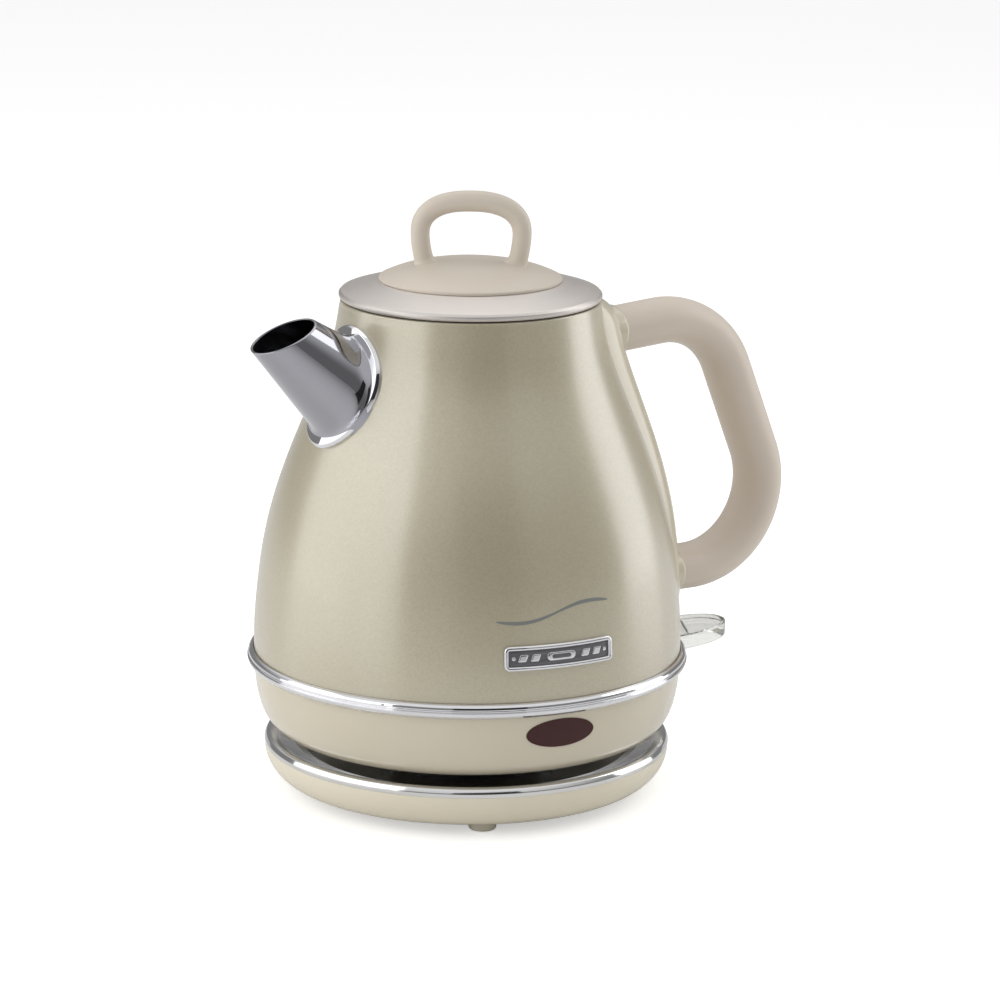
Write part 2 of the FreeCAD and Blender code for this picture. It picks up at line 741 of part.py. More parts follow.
def filter_mesh():
    middle = filter_holder_depth + filter_thickness / 2
    return filter_block(filter_half_width - filter_rim - fit_gap, filter_half_height - filter_rim - fit_gap,
                        middle - 0.3, middle + 0.3)


# ---- Kettle: handle ---------------------------------------------------------------------
def handle_root(z):
    """Where the grip meets the spine's boss, at height z."""
    return body_radius(z) + spine_depth + boss_height


def handle_grip():
    lean = math.radians(handle_lean)
    low_corner = handle_reach - handle_bend + handle_bend * math.tan(math.pi / 4 + lean / 2)
    high_corner = low_corner - (handle_top_z - handle_bottom_z) * math.tan(lean)
    path = [(handle_root(handle_top_z), handle_top_z), (high_corner, handle_top_z),
            (low_corner, handle_bottom_z), (handle_root(handle_bottom_z), handle_bottom_z)]
    return bent_bar(path, handle_bend, handle_half_thickness, handle_half_width).cut(handle_spine())


def handle_spine():
    """Backing strip down the body behind the grip, with an oval boss at each end of the grip."""
    def depth(z):
        near_end = min(1.0, (z - spine_bottom_z) / spine_ramp, (spine_top_z - z) / spine_ramp)
        return spine_depth * math.sqrt(1 - (1 - near_end) ** 2)

    steps = 16
    heights = [spine_bottom_z + (spine_top_z - spine_bottom_z) * i / steps for i in range(steps + 1)]
    curve = Part.BSplineCurve()
    curve.interpolate([Vector(body_radius(z) + depth(z), 0, z) for z in heights])
    first, last = curve.value(curve.FirstParameter), curve.value(curve.LastParameter)
    back = [last, Vector(last.x - 6, 0, last.z), Vector(first.x - 20, 0, first.z), first]
    lines = [Part.makeLine(a, b) for a, b in zip(back, back[1:])]
    face = Part.Face(Part.Wire([curve.toShape()] + lines))
    face.translate(Vector(0, -spine_half_width, 0))
    strip = face.extrude(Vector(0, 2 * spine_half_width, 0))
    for z in (handle_top_z, handle_bottom_z):
        boss = oval_prism(body_radius(z) - 4, handle_root(z), handle_half_width + boss_rim,
                          handle_half_thickness + boss_rim, z)
        strip = strip.fuse(boss)
    return strip.cut(body_solid(fit_gap)).removeSplitter()


# ---- Lid --------------------------------------------------------------------------------
def lid_cap():
    low = lid_rim_z
    high = low + lid_rim_height
    return lathe([(lid_radius - 0.6, low), (lid_radius, low + 0.7), (lid_radius, high - 0.9),
                  (lid_radius - 0.9, high), (lid_disc_radius + 0.6, lid_disc_z), (26, lid_disc_z),
                  (26, lid_disc_z - lid_sheet), (lid_disc_radius + 0.4, lid_disc_z - lid_sheet),
                  (lid_radius - 1.6, high - lid_sheet), (lid_radius - 1.6, low)])


def lid_skirt():
    low = body_top_z - lid_skirt_depth
    outer = mouth_radius - 1.2
    inner = outer - lid_skirt_wall
    top = body_top_z + lid_flange_thickness
    return lathe([(inner, low), (outer, low), (outer, body_top_z), (lid_flange_radius, body_top_z),
                  (lid_flange_radius, top), (inner, top)])


def lid_seal():
    middle = body_top_z - 0.5 * lid_skirt_depth
    inner = mouth_radius - 1.2 + fit_gap
    return tube(inner, mouth_radius - seat_gap, middle - 1.5, middle + 1.5)


def lid_inner_plate():
    low = body_top_z - lid_skirt_depth
    plate = disc(mouth_radius - 1.2, low - 1.0, low)
    for index in range(6):
        x, y = around(28, 60 * index + lid_turn + 30)
        plate = plate.cut(disc(2.0, low - 2, low + 1, x, y))
    for side in (-1, 1):
        x, y = around(side * loop_foot_half, lid_turn)
        plate = plate.cut(disc(1.6, low - 2, low + 1, x, y))
    return plate


def lid_screw(side):
    x, y = around(side * loop_foot_half, lid_turn)
    low = body_top_z - lid_skirt_depth - 1.0
    return disc(3.0, low - 1.4, low, x, y).fuse(disc(1.5, low, lid_disc_z, x, y)).removeSplitter()


def lid_knob():
    """Domed disc with the loop moulded on it."""
    step = 0.9
    rise = lid_dome_rise
    dome = [(lid_disc_radius, lid_disc_z + step), (0.85 * lid_disc_radius, lid_disc_z + 0.40 * rise),
            (0.61 * lid_disc_radius, lid_disc_z + 0.72 * rise),
            (0.30 * lid_disc_radius, lid_disc_z + 0.93 * rise), (0, lid_disc_z + rise)]
    knob = curved_lathe(dome, [(0, lid_disc_z), (lid_disc_radius, lid_disc_z)])
    bend_x = loop_half_width - loop_bend
    side_lean = math.atan2(loop_half_width - loop_foot_half, 0.55 * (loop_top_z - lid_disc_z))
    corner = bend_x + loop_bend * math.tan(math.pi / 4 + side_lean / 2)
    foot_z = lid_disc_z + 2.0
    foot_x = corner - (loop_top_z - foot_z) * math.tan(side_lean)
    path = [(-foot_x, foot_z), (-corner, loop_top_z), (corner, loop_top_z), (foot_x, foot_z)]
    pieces = [knob, bent_bar(path, loop_bend, loop_radius, loop_radius)]
    for side in (-1, 1):
        foot_point = Vector(side * foot_x, 0, foot_z)
        pieces.append(Part.makeCone(loop_foot_radius, loop_radius, loop_foot_height, foot_point))
    return turned(fused(pieces), lid_turn)


# ---- All pieces -------------------------------------------------------------------------
pieces = {
    "base_tray": base_tray(),
    "base_plate": base_plate(),
    "base_hub_cover": base_hub_cover(),
    "connector_tower": connector_tower(),
    "base_live_contact": base_ring_contact(live_ring_radius),
    "base_neutral_contact": base_ring_contact(neutral_ring_radius),
    "base_earth_contact": base_earth_contact(),
    "cord_gland": cord_gland(),
    "cord_clamp": cord_clamp(),
    "turn_ring": turn_ring(),
    "body_shell": body_shell(),
    "body_trim_ring": body_trim_ring(),
    "lower_housing": lower_housing(),
    "heating_plate": heating_plate(),
    "heat_spreader": heat_spreader(),
    "heating_element": heating_element(),
    "kettle_socket": kettle_socket(),
    "kettle_earth_pin": kettle_earth_pin(),
    "kettle_live_ring": kettle_ring_contact(live_ring_radius),
    "kettle_neutral_ring": kettle_ring_contact(neutral_ring_radius),
    "controller_body": controller_body(),
    "switch_frame": switch_frame(),
    "lever_pin": lever_pin(),
    "steam_disc": steam_disc(),
    "steam_tube": steam_tube(),
    "switch_lever": switch_lever(),
    "trip_link": trip_link(),
    "indicator_lens": indicator_lens(),
    "lamp_holder": lamp_holder(),
    "indicator_lamp": indicator_lamp(),
    "badge_frame": badge_frame(),
    "badge_plate": badge_plate(),
    "spout_tube": spout_tube(),
    "spout_collar": spout_collar(),
    "filter_holder": filter_holder(),
    "filter_frame": filter_frame(),
    "filter_mesh": filter_mesh(),
    "handle_grip": handle_grip(),
    "handle_spine": handle_spine(),
    "lid_cap": lid_cap(),
    "lid_knob": lid_knob(),
    "lid_skirt": lid_skirt(),
    "lid_seal": lid_seal(),
    "lid_inner_plate": lid_inner_plate(),
}
for index in range(3):
    pieces["foot_%d" % (index + 1)] = foot(index)
    pieces["base_screw_%d" % (index + 1)] = base_screw(hub_screw_angles[index])
    pieces["housing_screw_%d" % (index + 1)] = housing_screw(housing_screw_angles[index])
for index, side in enumerate((-1, 1)):
    pieces["dry_boil_disc_%d" % (index + 1)] = dry_boil_disc(side)
    pieces["lid_screw_%d" % (index + 1)] = lid_screw(side)

os.makedirs("parts", exist_ok=True)
for name, shape in pieces.items():
    shape.exportStep("parts/%s.step" % name)
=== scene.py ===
import bpy
import bmesh
import json
import math
import numpy as np
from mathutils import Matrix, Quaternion, Vector


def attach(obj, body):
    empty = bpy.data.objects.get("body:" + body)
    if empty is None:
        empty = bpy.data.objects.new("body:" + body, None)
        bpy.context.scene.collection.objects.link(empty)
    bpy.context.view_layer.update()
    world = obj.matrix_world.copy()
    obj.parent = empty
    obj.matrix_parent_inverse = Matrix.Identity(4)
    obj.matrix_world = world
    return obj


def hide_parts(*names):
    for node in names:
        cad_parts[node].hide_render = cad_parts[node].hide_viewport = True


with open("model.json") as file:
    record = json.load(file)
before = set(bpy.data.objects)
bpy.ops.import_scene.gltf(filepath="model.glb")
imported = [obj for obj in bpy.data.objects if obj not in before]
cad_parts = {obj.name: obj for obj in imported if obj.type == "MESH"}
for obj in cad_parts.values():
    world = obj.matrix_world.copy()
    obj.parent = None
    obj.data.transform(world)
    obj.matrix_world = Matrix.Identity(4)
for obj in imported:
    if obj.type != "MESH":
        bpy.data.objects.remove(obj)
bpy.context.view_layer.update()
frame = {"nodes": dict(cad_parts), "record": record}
nodes = frame["nodes"]
mm = 0.001

print("camera and studio")
# The camera stands low in front of the spout's side; the handle points away to its right.
cameraSetup = {"place": (-0.7507, -1.2494, 0.4603), "target": (0, 0, 0.1063), "roll": 0.56,
               "lens": 148.2, "shiftX": 0.0315}
cameraAzimuth = math.atan2(cameraSetup["place"][1], cameraSetup["place"][0])


# A new object that holds the data, in the scene.
def shown(name, data):
    thing = bpy.data.objects.new(name, data)
    bpy.context.scene.collection.objects.link(thing)
    return thing


def makeCamera():
    data = bpy.data.cameras.new("camera")
    camera = shown("camera", data)
    camera.location = cameraSetup["place"]
    look = Vector(cameraSetup["target"]) - camera.location
    turn = look.to_track_quat("-Z", "Y") @ Quaternion((0, 0, 1), math.radians(cameraSetup["roll"]))
    camera.rotation_mode = "QUATERNION"
    camera.rotation_quaternion = turn
    data.lens = cameraSetup["lens"]
    data.sensor_width = 36
    data.shift_x = cameraSetup["shiftX"]
    bpy.context.scene.camera = camera


# Softboxes by the side they stand on, in degrees round the kettle from the camera's own side
softboxes = {
    "right": {"side": 109, "away": 1.15, "high": 0.45, "size": (0.70, 1.2), "power": 4.6},
    "left": {"side": -76, "away": 1.15, "high": 0.45, "size": (1.65, 1.2), "power": 8.2},
    "streak": {"side": -39, "away": 1.3, "high": 0.35, "size": (0.10, 0.9), "power": 0.45},
    "above": {"side": 175, "away": 0.5, "high": 1.3, "size": (1.2, 0.9), "power": 2.2},
}
# What bright metal sees round it: a grey room up to lowAt, a white ceiling from highAt
studio = {"fill": 0.68, "room": 0.24, "ceiling": 0.90, "lowAt": 0.26, "highAt": 0.66, "floorColour": 0.92,
          "floorGlow": 0.46}
flags = {
    "front": {"side": 12, "away": 1.9, "high": 0.45, "size": (1.3, 1.5), "grey": 0.03},
    "low": {"side": -62, "away": 1.7, "high": 0.10, "size": (0.35, 0.5), "grey": 0.02},
}


def aroundCamera(side, away, high):
    angle = cameraAzimuth + math.radians(side)
    return Vector((away * math.cos(angle), away * math.sin(angle), high))


def makeLights():
    for name, box in softboxes.items():
        data = bpy.data.lights.new(name, "AREA")
        data.shape = "RECTANGLE"
        data.size, data.size_y = box["size"]
        data.energy = box["power"]
        light = shown(name, data)
        light.location = aroundCamera(box["side"], box["away"], box["high"])
        light.rotation_euler = (Vector((0, 0, 0.1)) - light.location).to_track_quat("-Z", "Y").to_euler()
        light.visible_camera = False
    world = bpy.data.worlds.new("studio")
    bpy.context.scene.world = world
    world.use_nodes = True
    tree = world.node_tree
    background = tree.nodes["Background"]
    path = tree.nodes.new("ShaderNodeLightPath")
    place = tree.nodes.new("ShaderNodeTexCoord")
    part = addNode(tree, "ShaderNodeSeparateXYZ", Vector=place.outputs["Generated"])
    rise = addNode(tree, "ShaderNodeMapRange", {"interpolation_type": "SMOOTHSTEP"}, at0=part.outputs[2],
                   at1=studio["lowAt"], at2=studio["highAt"], at3=studio["room"],
                   at4=studio["ceiling"]).outputs[0]
    through, seen = path.outputs["Is Transmission Ray"], path.outputs["Is Camera Ray"]
    direct = mathNode(tree, "SUBTRACT", 1.0, through)
    glossy = mathNode(tree, "MULTIPLY", path.outputs["Is Glossy Ray"], direct)
    seen = mathNode(tree, "MAXIMUM", seen, through)
    level = mathNode(tree, "ADD", mathNode(tree, "MULTIPLY", glossy, rise), mathNode(
        tree, "MULTIPLY", mathNode(tree, "SUBTRACT", 1.0, glossy), studio["fill"]))
    level = mathNode(tree, "MAXIMUM", level, seen)
    tree.links.new(level, background.inputs["Strength"])
    background.inputs["Color"].default_value = (1, 1, 1, 1)
    bpy.context.scene.view_settings.view_transform = "Standard"


# Meshes as grids
# Smooth shading, with sharp edges where faces meet at more than sharpAngle degrees.
def smoothed(mesh, sharpAngle):
    mesh.polygons.foreach_set("use_smooth", np.ones(len(mesh.polygons), bool))
    mesh.set_sharp_from_angle(angle=math.radians(sharpAngle))


# vertices is n by 3 in metres; faces is a list or array of corner numbers.
def finishMesh(name, vertices, faces, material, sharpAngle=35):
    mesh = bpy.data.meshes.new(name)
    mesh.from_pydata(np.asarray(vertices).tolist(), [], np.asarray(faces).tolist())
    work = bmesh.new()
    work.from_mesh(mesh)
    bmesh.ops.remove_doubles(work, verts=work.verts, dist=1e-7)
    bmesh.ops.dissolve_degenerate(work, edges=work.edges, dist=1e-8)
    work.to_mesh(mesh)
    work.free()
    smoothed(mesh, sharpAngle)
    mesh.materials.append(material)
    return shown(name, mesh)


# Corner numbers of the four-sided faces of a grid, each turned the same way.
def gridFaces(rows, columns, closeRows, closeColumns):
    i = np.arange(rows if closeRows else rows - 1)
    j = np.arange(columns if closeColumns else columns - 1)
    i, j = np.meshgrid(i, j, indexing="ij")
    nextI, nextJ = (i + 1) % rows, (j + 1) % columns
    corners = [i * columns + j, i * columns + nextJ, nextI * columns + nextJ, nextI * columns + j]
    return np.stack(corners, -1).reshape(-1, 4)


# Sum of the small pyramids from the origin to each face; its sign tells which way faces point.
def signedVolume(points, faces):
    a, b, c, d = (points[faces[:, k]] for k in range(4))
    return (np.einsum("ij,ij->i", a, np.cross(b, c)) + np.einsum("ij,ij->i", a, np.cross(c, d))).sum()


# A grid of points, rows by columns by 3, as a piece whose faces point outwards.
def gridPiece(name, grid, material, closeRows=False, closeColumns=True, sharpAngle=35, closed=True):
    rows, columns = grid.shape[:2]
    points = grid.reshape(-1, 3)
    faces = gridFaces(rows, columns, closeRows, closeColumns)
    if closed and signedVolume(points, faces) < 0:
        faces = faces[:, ::-1]
    return finishMesh(name, points, faces, material, sharpAngle)


# Closed outline of (radius, z, rounding) corners with each corner made an arc that is
# tangent to its two sides: points on a circle between the two touching points.
def softOutline(corners, steps=6):
    corners = [np.array(corner, float) for corner in corners]
    points = []
    for index, corner in enumerate(corners):
        before = corners[index - 1][:2] - corner[:2]
        after = corners[(index + 1) % len(corners)][:2] - corner[:2]
        rounding = corner[2]
        if rounding <= 0:
            points.append(corner[:2][None])
            continue
        before, after = (v / max(np.linalg.norm(v), 1e-12) for v in (before, after))
        half = math.acos(float(np.clip(before @ after, -1, 1))) / 2
        middle = (before + after) / max(np.linalg.norm(before + after), 1e-12)
        centre = corner[:2] + middle * rounding / math.sin(half)
        start = corner[:2] + before * rounding / math.tan(half) - centre
        end = corner[:2] + after * rounding / math.tan(half) - centre
        first, last = math.atan2(start[1], start[0]), math.atan2(end[1], end[0])
        sweep = (last - first + math.pi) % (2 * math.pi) - math.pi
        angle = first + sweep * np.linspace(0, 1, steps)
        points.append(centre + rounding * np.stack([np.cos(angle), np.sin(angle)], 1))
    return np.concatenate(points)


# An outline of (radius, z) turned round the upright axis: x = r cos a, y = r sin a.
def spun(name, outline, material, segments=192, closeRows=True, sharpAngle=35, centre=(0, 0)):
    angle = np.linspace(0, 2 * math.pi, segments, endpoint=False)
    radius, height = outline[:, 0][:, None], outline[:, 1][:, None]
    x = centre[0] + radius * np.cos(angle)
    y = centre[1] + radius * np.sin(angle)
    grid = np.stack([x, y, height + 0 * angle], -1)
    return gridPiece(name, grid, material, closeRows=closeRows, sharpAngle=sharpAngle)


# Takes the cutter's form out of the piece and removes the cutter.
def carved(piece, cutter):
    change = piece.modifiers.new("cut", "BOOLEAN")
    change.operation, change.solver, change.object = "DIFFERENCE", "EXACT", cutter
    settled(piece)
    bpy.data.objects.remove(cutter)
    return piece


# Makes a piece's modifiers part of its mesh.
def settled(piece):
    bpy.context.view_layer.update()
    graph = bpy.context.evaluated_depsgraph_get()
    mesh = bpy.data.meshes.new_from_object(piece.evaluated_get(graph), depsgraph=graph)
    piece.modifiers.clear()
    piece.data = mesh
    return piece


# Natural cubic spline through (x, y): second slopes from one linear system, then the cubic.
def smoothSpline(x, y, at):
    x, y = np.asarray(x, float), np.asarray(y, float)
    gap = np.diff(x)
    count = len(x)
    system, right = np.eye(count), np.zeros(count)
    for k in range(1, count - 1):
        system[k, k - 1:k + 2] = gap[k - 1], 2 * (gap[k - 1] + gap[k]), gap[k]
        right[k] = 6 * ((y[k + 1] - y[k]) / gap[k] - (y[k] - y[k - 1]) / gap[k - 1])
    bend = np.linalg.solve(system, right)
    k = np.clip(np.searchsorted(x, at) - 1, 0, count - 2)
    a, b, h = x[k + 1] - at, at - x[k], gap[k]
    return (bend[k] * a ** 3 + bend[k + 1] * b ** 3) / (6 * h) + (y[k] / h - bend[k] * h / 6) * a \
        + (y[k + 1] / h - bend[k + 1] * h / 6) * b


def placed(piece, body, slotName, *replacedNodes):
    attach(piece, body)
    if replacedNodes:
        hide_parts(*replacedNodes)
    return piece


# Materials
print("materials")


def newGroup(name, inputs, outputs):
    group = bpy.data.node_groups.new(name, "ShaderNodeTree")
    for label, kind, value in inputs:
        socket = group.interface.new_socket(name=label, in_out="INPUT", socket_type=kind)
        if value is not None:
            socket.default_value = value
    for label, kind in outputs:
        group.interface.new_socket(name=label, in_out="OUTPUT", socket_type=kind)
    return group, group.nodes.new("NodeGroupInput"), group.nodes.new("NodeGroupOutput")


def addNode(tree, kind, settings=None, **inputs):
    node = tree.nodes.new(kind)
    for key, value in (settings or {}).items():
        setattr(node, key, value)
    for key, value in inputs.items():
        socket = node.inputs[int(key[2:]) if key.startswith("at") else key]
        if isinstance(value, bpy.types.NodeSocket):
            tree.links.new(value, socket)
        else:
            socket.default_value = value
    return node


def mathNode(tree, operation, *values, clamp=False):
    inputs = {"at%d" % k: value for k, value in enumerate(values)}
    return addNode(tree, "ShaderNodeMath", {"operation": operation, "use_clamp": clamp}, **inputs).outputs[0]


# The group's colour out is its colour in, times a factor that changes over the surface.
def scaleColour(group, colour, factor, end):
    scaled = addNode(group, "ShaderNodeVectorMath", {"operation": "SCALE"}, at0=colour, Scale=factor)
    group.links.new(scaled.outputs[0], end.inputs["Colour"])


# Slow drift of colour and gloss over a surface, with fine specks of dust.
def makeToneGroup():
    group, start, end = newGroup("toneDrift", [
        ("Colour", "NodeSocketColor", None), ("Drift", "NodeSocketFloat", 0.05),
        ("Roughness", "NodeSocketFloat", 0.3), ("Smudge", "NodeSocketFloat", 0.05),
        ("Size", "NodeSocketFloat", 30.0)], [("Colour", "NodeSocketColor"), ("Roughness", "NodeSocketFloat")])
    place = addNode(group, "ShaderNodeTexCoord").outputs["Object"]
    slow = addNode(group, "ShaderNodeTexNoise", Vector=place, Scale=start.outputs["Size"], Detail=3.0)
    fine = addNode(group, "ShaderNodeTexNoise", Vector=place, Scale=900.0, Detail=2.0, Roughness=0.7)
    swing = mathNode(group, "SUBTRACT", slow.outputs["Fac"], 0.5)
    bright = mathNode(group, "ADD", mathNode(group, "MULTIPLY", swing, start.outputs["Drift"]), 1.0)
    scaleColour(group, start.outputs["Colour"], bright, end)
    specks = mathNode(group, "MULTIPLY", mathNode(group, "SUBTRACT", fine.outputs["Fac"], 0.5), 0.6)
    smear = mathNode(group, "MULTIPLY", mathNode(group, "ADD", swing, specks), start.outputs["Smudge"])
    rough = mathNode(group, "ADD", smear, start.outputs["Roughness"], clamp=True)
    group.links.new(rough, end.inputs["Roughness"])
    return group


# Pearl flakes: small cells, each with its own brightness and tilt.
def makeFlakeGroup():
    group, start, end = newGroup("pearlFlakes", [
        ("Colour", "NodeSocketColor", None), ("Glint", "NodeSocketFloat", 0.1),
        ("Tilt", "NodeSocketFloat", 0.1), ("Size", "NodeSocketFloat", 2600.0)],
        [("Colour", "NodeSocketColor"), ("Normal", "NodeSocketVector")])
    place = addNode(group, "ShaderNodeTexCoord").outputs["Object"]
    cells = addNode(group, "ShaderNodeTexVoronoi", Vector=place, Scale=start.outputs["Size"])
    value = addNode(group, "ShaderNodeSeparateColor", Color=cells.outputs["Color"])
    swing = mathNode(group, "SUBTRACT", value.outputs[0], 0.5)
    glint = mathNode(group, "MULTIPLY", swing, start.outputs["Glint"])
    scaleColour(group, start.outputs["Colour"], mathNode(group, "ADD", glint, 1.0), end)
    bump = addNode(group, "ShaderNodeBump", Strength=start.outputs["Tilt"], Distance=0.00004,
                   Height=value.outputs[1])
    group.links.new(bump.outputs[0], end.inputs["Normal"])
    return group


# Height of a moulded skin: fine spark-eroded pits over a very slight waviness.
def makeGrainGroup():
    group, start, end = newGroup("mouldedSkin", [
        ("Pits", "NodeSocketFloat", 0.3), ("Wave", "NodeSocketFloat", 0.3),
        ("PitSize", "NodeSocketFloat", 1800.0), ("WaveSize", "NodeSocketFloat", 70.0)],
        [("Height", "NodeSocketFloat")])
    place = addNode(group, "ShaderNodeTexCoord").outputs["Object"]
    pits = addNode(group, "ShaderNodeTexNoise", Vector=place, Scale=start.outputs["PitSize"], Detail=2.0)
    wave = addNode(group, "ShaderNodeTexNoise", Vector=place, Scale=start.outputs["WaveSize"], Detail=1.0)
    total = mathNode(group, "ADD", mathNode(group, "MULTIPLY", pits.outputs["Fac"], start.outputs["Pits"]),
                     mathNode(group, "MULTIPLY", wave.outputs["Fac"], start.outputs["Wave"]))
    group.links.new(total, end.inputs["Height"])
    return group


# Fine turned lines round the upright axis: noise of radius and height, drawn out round the axis.
def makeBrushGroup():
    group, start, end = newGroup("turnedLines", [
        ("Colour", "NodeSocketColor", None), ("Streak", "NodeSocketFloat", 0.1),
        ("Roughness", "NodeSocketFloat", 0.3), ("Scatter", "NodeSocketFloat", 0.1),
        ("Lines", "NodeSocketFloat", 2500.0)],
        [("Colour", "NodeSocketColor"), ("Roughness", "NodeSocketFloat"), ("Height", "NodeSocketFloat")])
    place = addNode(group, "ShaderNodeTexCoord").outputs["Object"]
    part = addNode(group, "ShaderNodeSeparateXYZ", Vector=place)
    radius = mathNode(group, "SQRT", mathNode(group, "ADD", mathNode(
        group, "POWER", part.outputs[0], 2.0), mathNode(group, "POWER", part.outputs[1], 2.0)))
    turn = mathNode(group, "ARCTAN2", part.outputs[1], part.outputs[0])
    line = addNode(group, "ShaderNodeCombineXYZ")
    group.links.new(mathNode(group, "MULTIPLY", radius, start.outputs["Lines"]), line.inputs[0])
    group.links.new(mathNode(group, "MULTIPLY", part.outputs[2], start.outputs["Lines"]), line.inputs[1])
    group.links.new(mathNode(group, "MULTIPLY", turn, 1.5), line.inputs[2])
    streak = addNode(group, "ShaderNodeTexNoise", Vector=line.outputs[0], Scale=1.0, Detail=3.0)
    swing = mathNode(group, "SUBTRACT", streak.outputs["Fac"], 0.5)
    bright = mathNode(group, "ADD", mathNode(group, "MULTIPLY", swing, start.outputs["Streak"]), 1.0)
    scaleColour(group, start.outputs["Colour"], bright, end)
    scatter = mathNode(group, "MULTIPLY", swing, start.outputs["Scatter"])
    rough = mathNode(group, "ADD", scatter, start.outputs["Roughness"], clamp=True)
    group.links.new(rough, end.inputs["Roughness"])
    group.links.new(streak.outputs["Fac"], end.inputs["Height"])
    return group


toneDrift = makeToneGroup()
pearlFlakes = makeFlakeGroup()
mouldedSkin = makeGrainGroup()
turnedLines = makeBrushGroup()


def newMaterial(name, **fixed):
    material = bpy.data.materials.new(name)
    material.use_nodes = True
    shader = material.node_tree.nodes["Principled BSDF"]
    for label, value in fixed.items():
        shader.inputs[label.replace("_", " ")].default_value = value
    return material, material.node_tree, shader


def useGroup(tree, group, **inputs):
    return addNode(tree, "ShaderNodeGroup", {"node_tree": group}, **inputs)


def joinShader(tree, shader, tone, normal):
    tree.links.new(tone.outputs["Colour"], shader.inputs["Base Color"])
    tree.links.new(tone.outputs["Roughness"], shader.inputs["Roughness"])
    if normal:
        tree.links.new(normal, shader.inputs["Normal"])


def plasticMaterial(name, colour, roughness, drift=0.05, smudge=0.06, pits=0.3, wave=0.2, bump=0.15,
                    pitSize=1800.0, **fixed):
    material, tree, shader = newMaterial(name, **fixed)
    tone = useGroup(tree, toneDrift, Colour=(*colour, 1), Drift=drift, Roughness=roughness, Smudge=smudge)
    skin = useGroup(tree, mouldedSkin, Pits=pits, Wave=wave, PitSize=pitSize)
    relief = addNode(tree, "ShaderNodeBump", Strength=bump, Distance=0.00008, Height=skin.outputs["Height"])
    joinShader(tree, shader, tone, relief.outputs[0])
    return material


def metalMaterial(name, colour, roughness, streak=0.05, scatter=0.05, lines=2500.0, bump=0.03, **fixed):
    material, tree, shader = newMaterial(name, Metallic=1.0, **fixed)
    brush = useGroup(tree, turnedLines, Colour=(*colour, 1), Streak=streak, Roughness=roughness,
                     Scatter=scatter, Lines=lines)
    tone = useGroup(tree, toneDrift, Colour=brush.outputs["Colour"], Drift=0.05,
                    Roughness=brush.outputs["Roughness"], Smudge=0.04, Size=45.0)
    relief = addNode(tree, "ShaderNodeBump", Strength=bump, Distance=0.00003, Height=brush.outputs["Height"])
    joinShader(tree, shader, tone, relief.outputs[0])
    return material


def pearlMaterial():
    material, tree, shader = newMaterial("pearlEnamel", Metallic=0.12, IOR=1.9, Coat_Weight=1.0,
                                         Coat_Roughness=0.24, Coat_IOR=2.1)
    flakes = useGroup(tree, pearlFlakes, Colour=(0.425, 0.372, 0.242, 1), Glint=0.14, Tilt=0.20)
    tone = useGroup(tree, toneDrift, Colour=flakes.outputs["Colour"], Drift=0.04, Roughness=0.40, Smudge=0.05)
    joinShader(tree, shader, tone, flakes.outputs["Normal"])
    return material


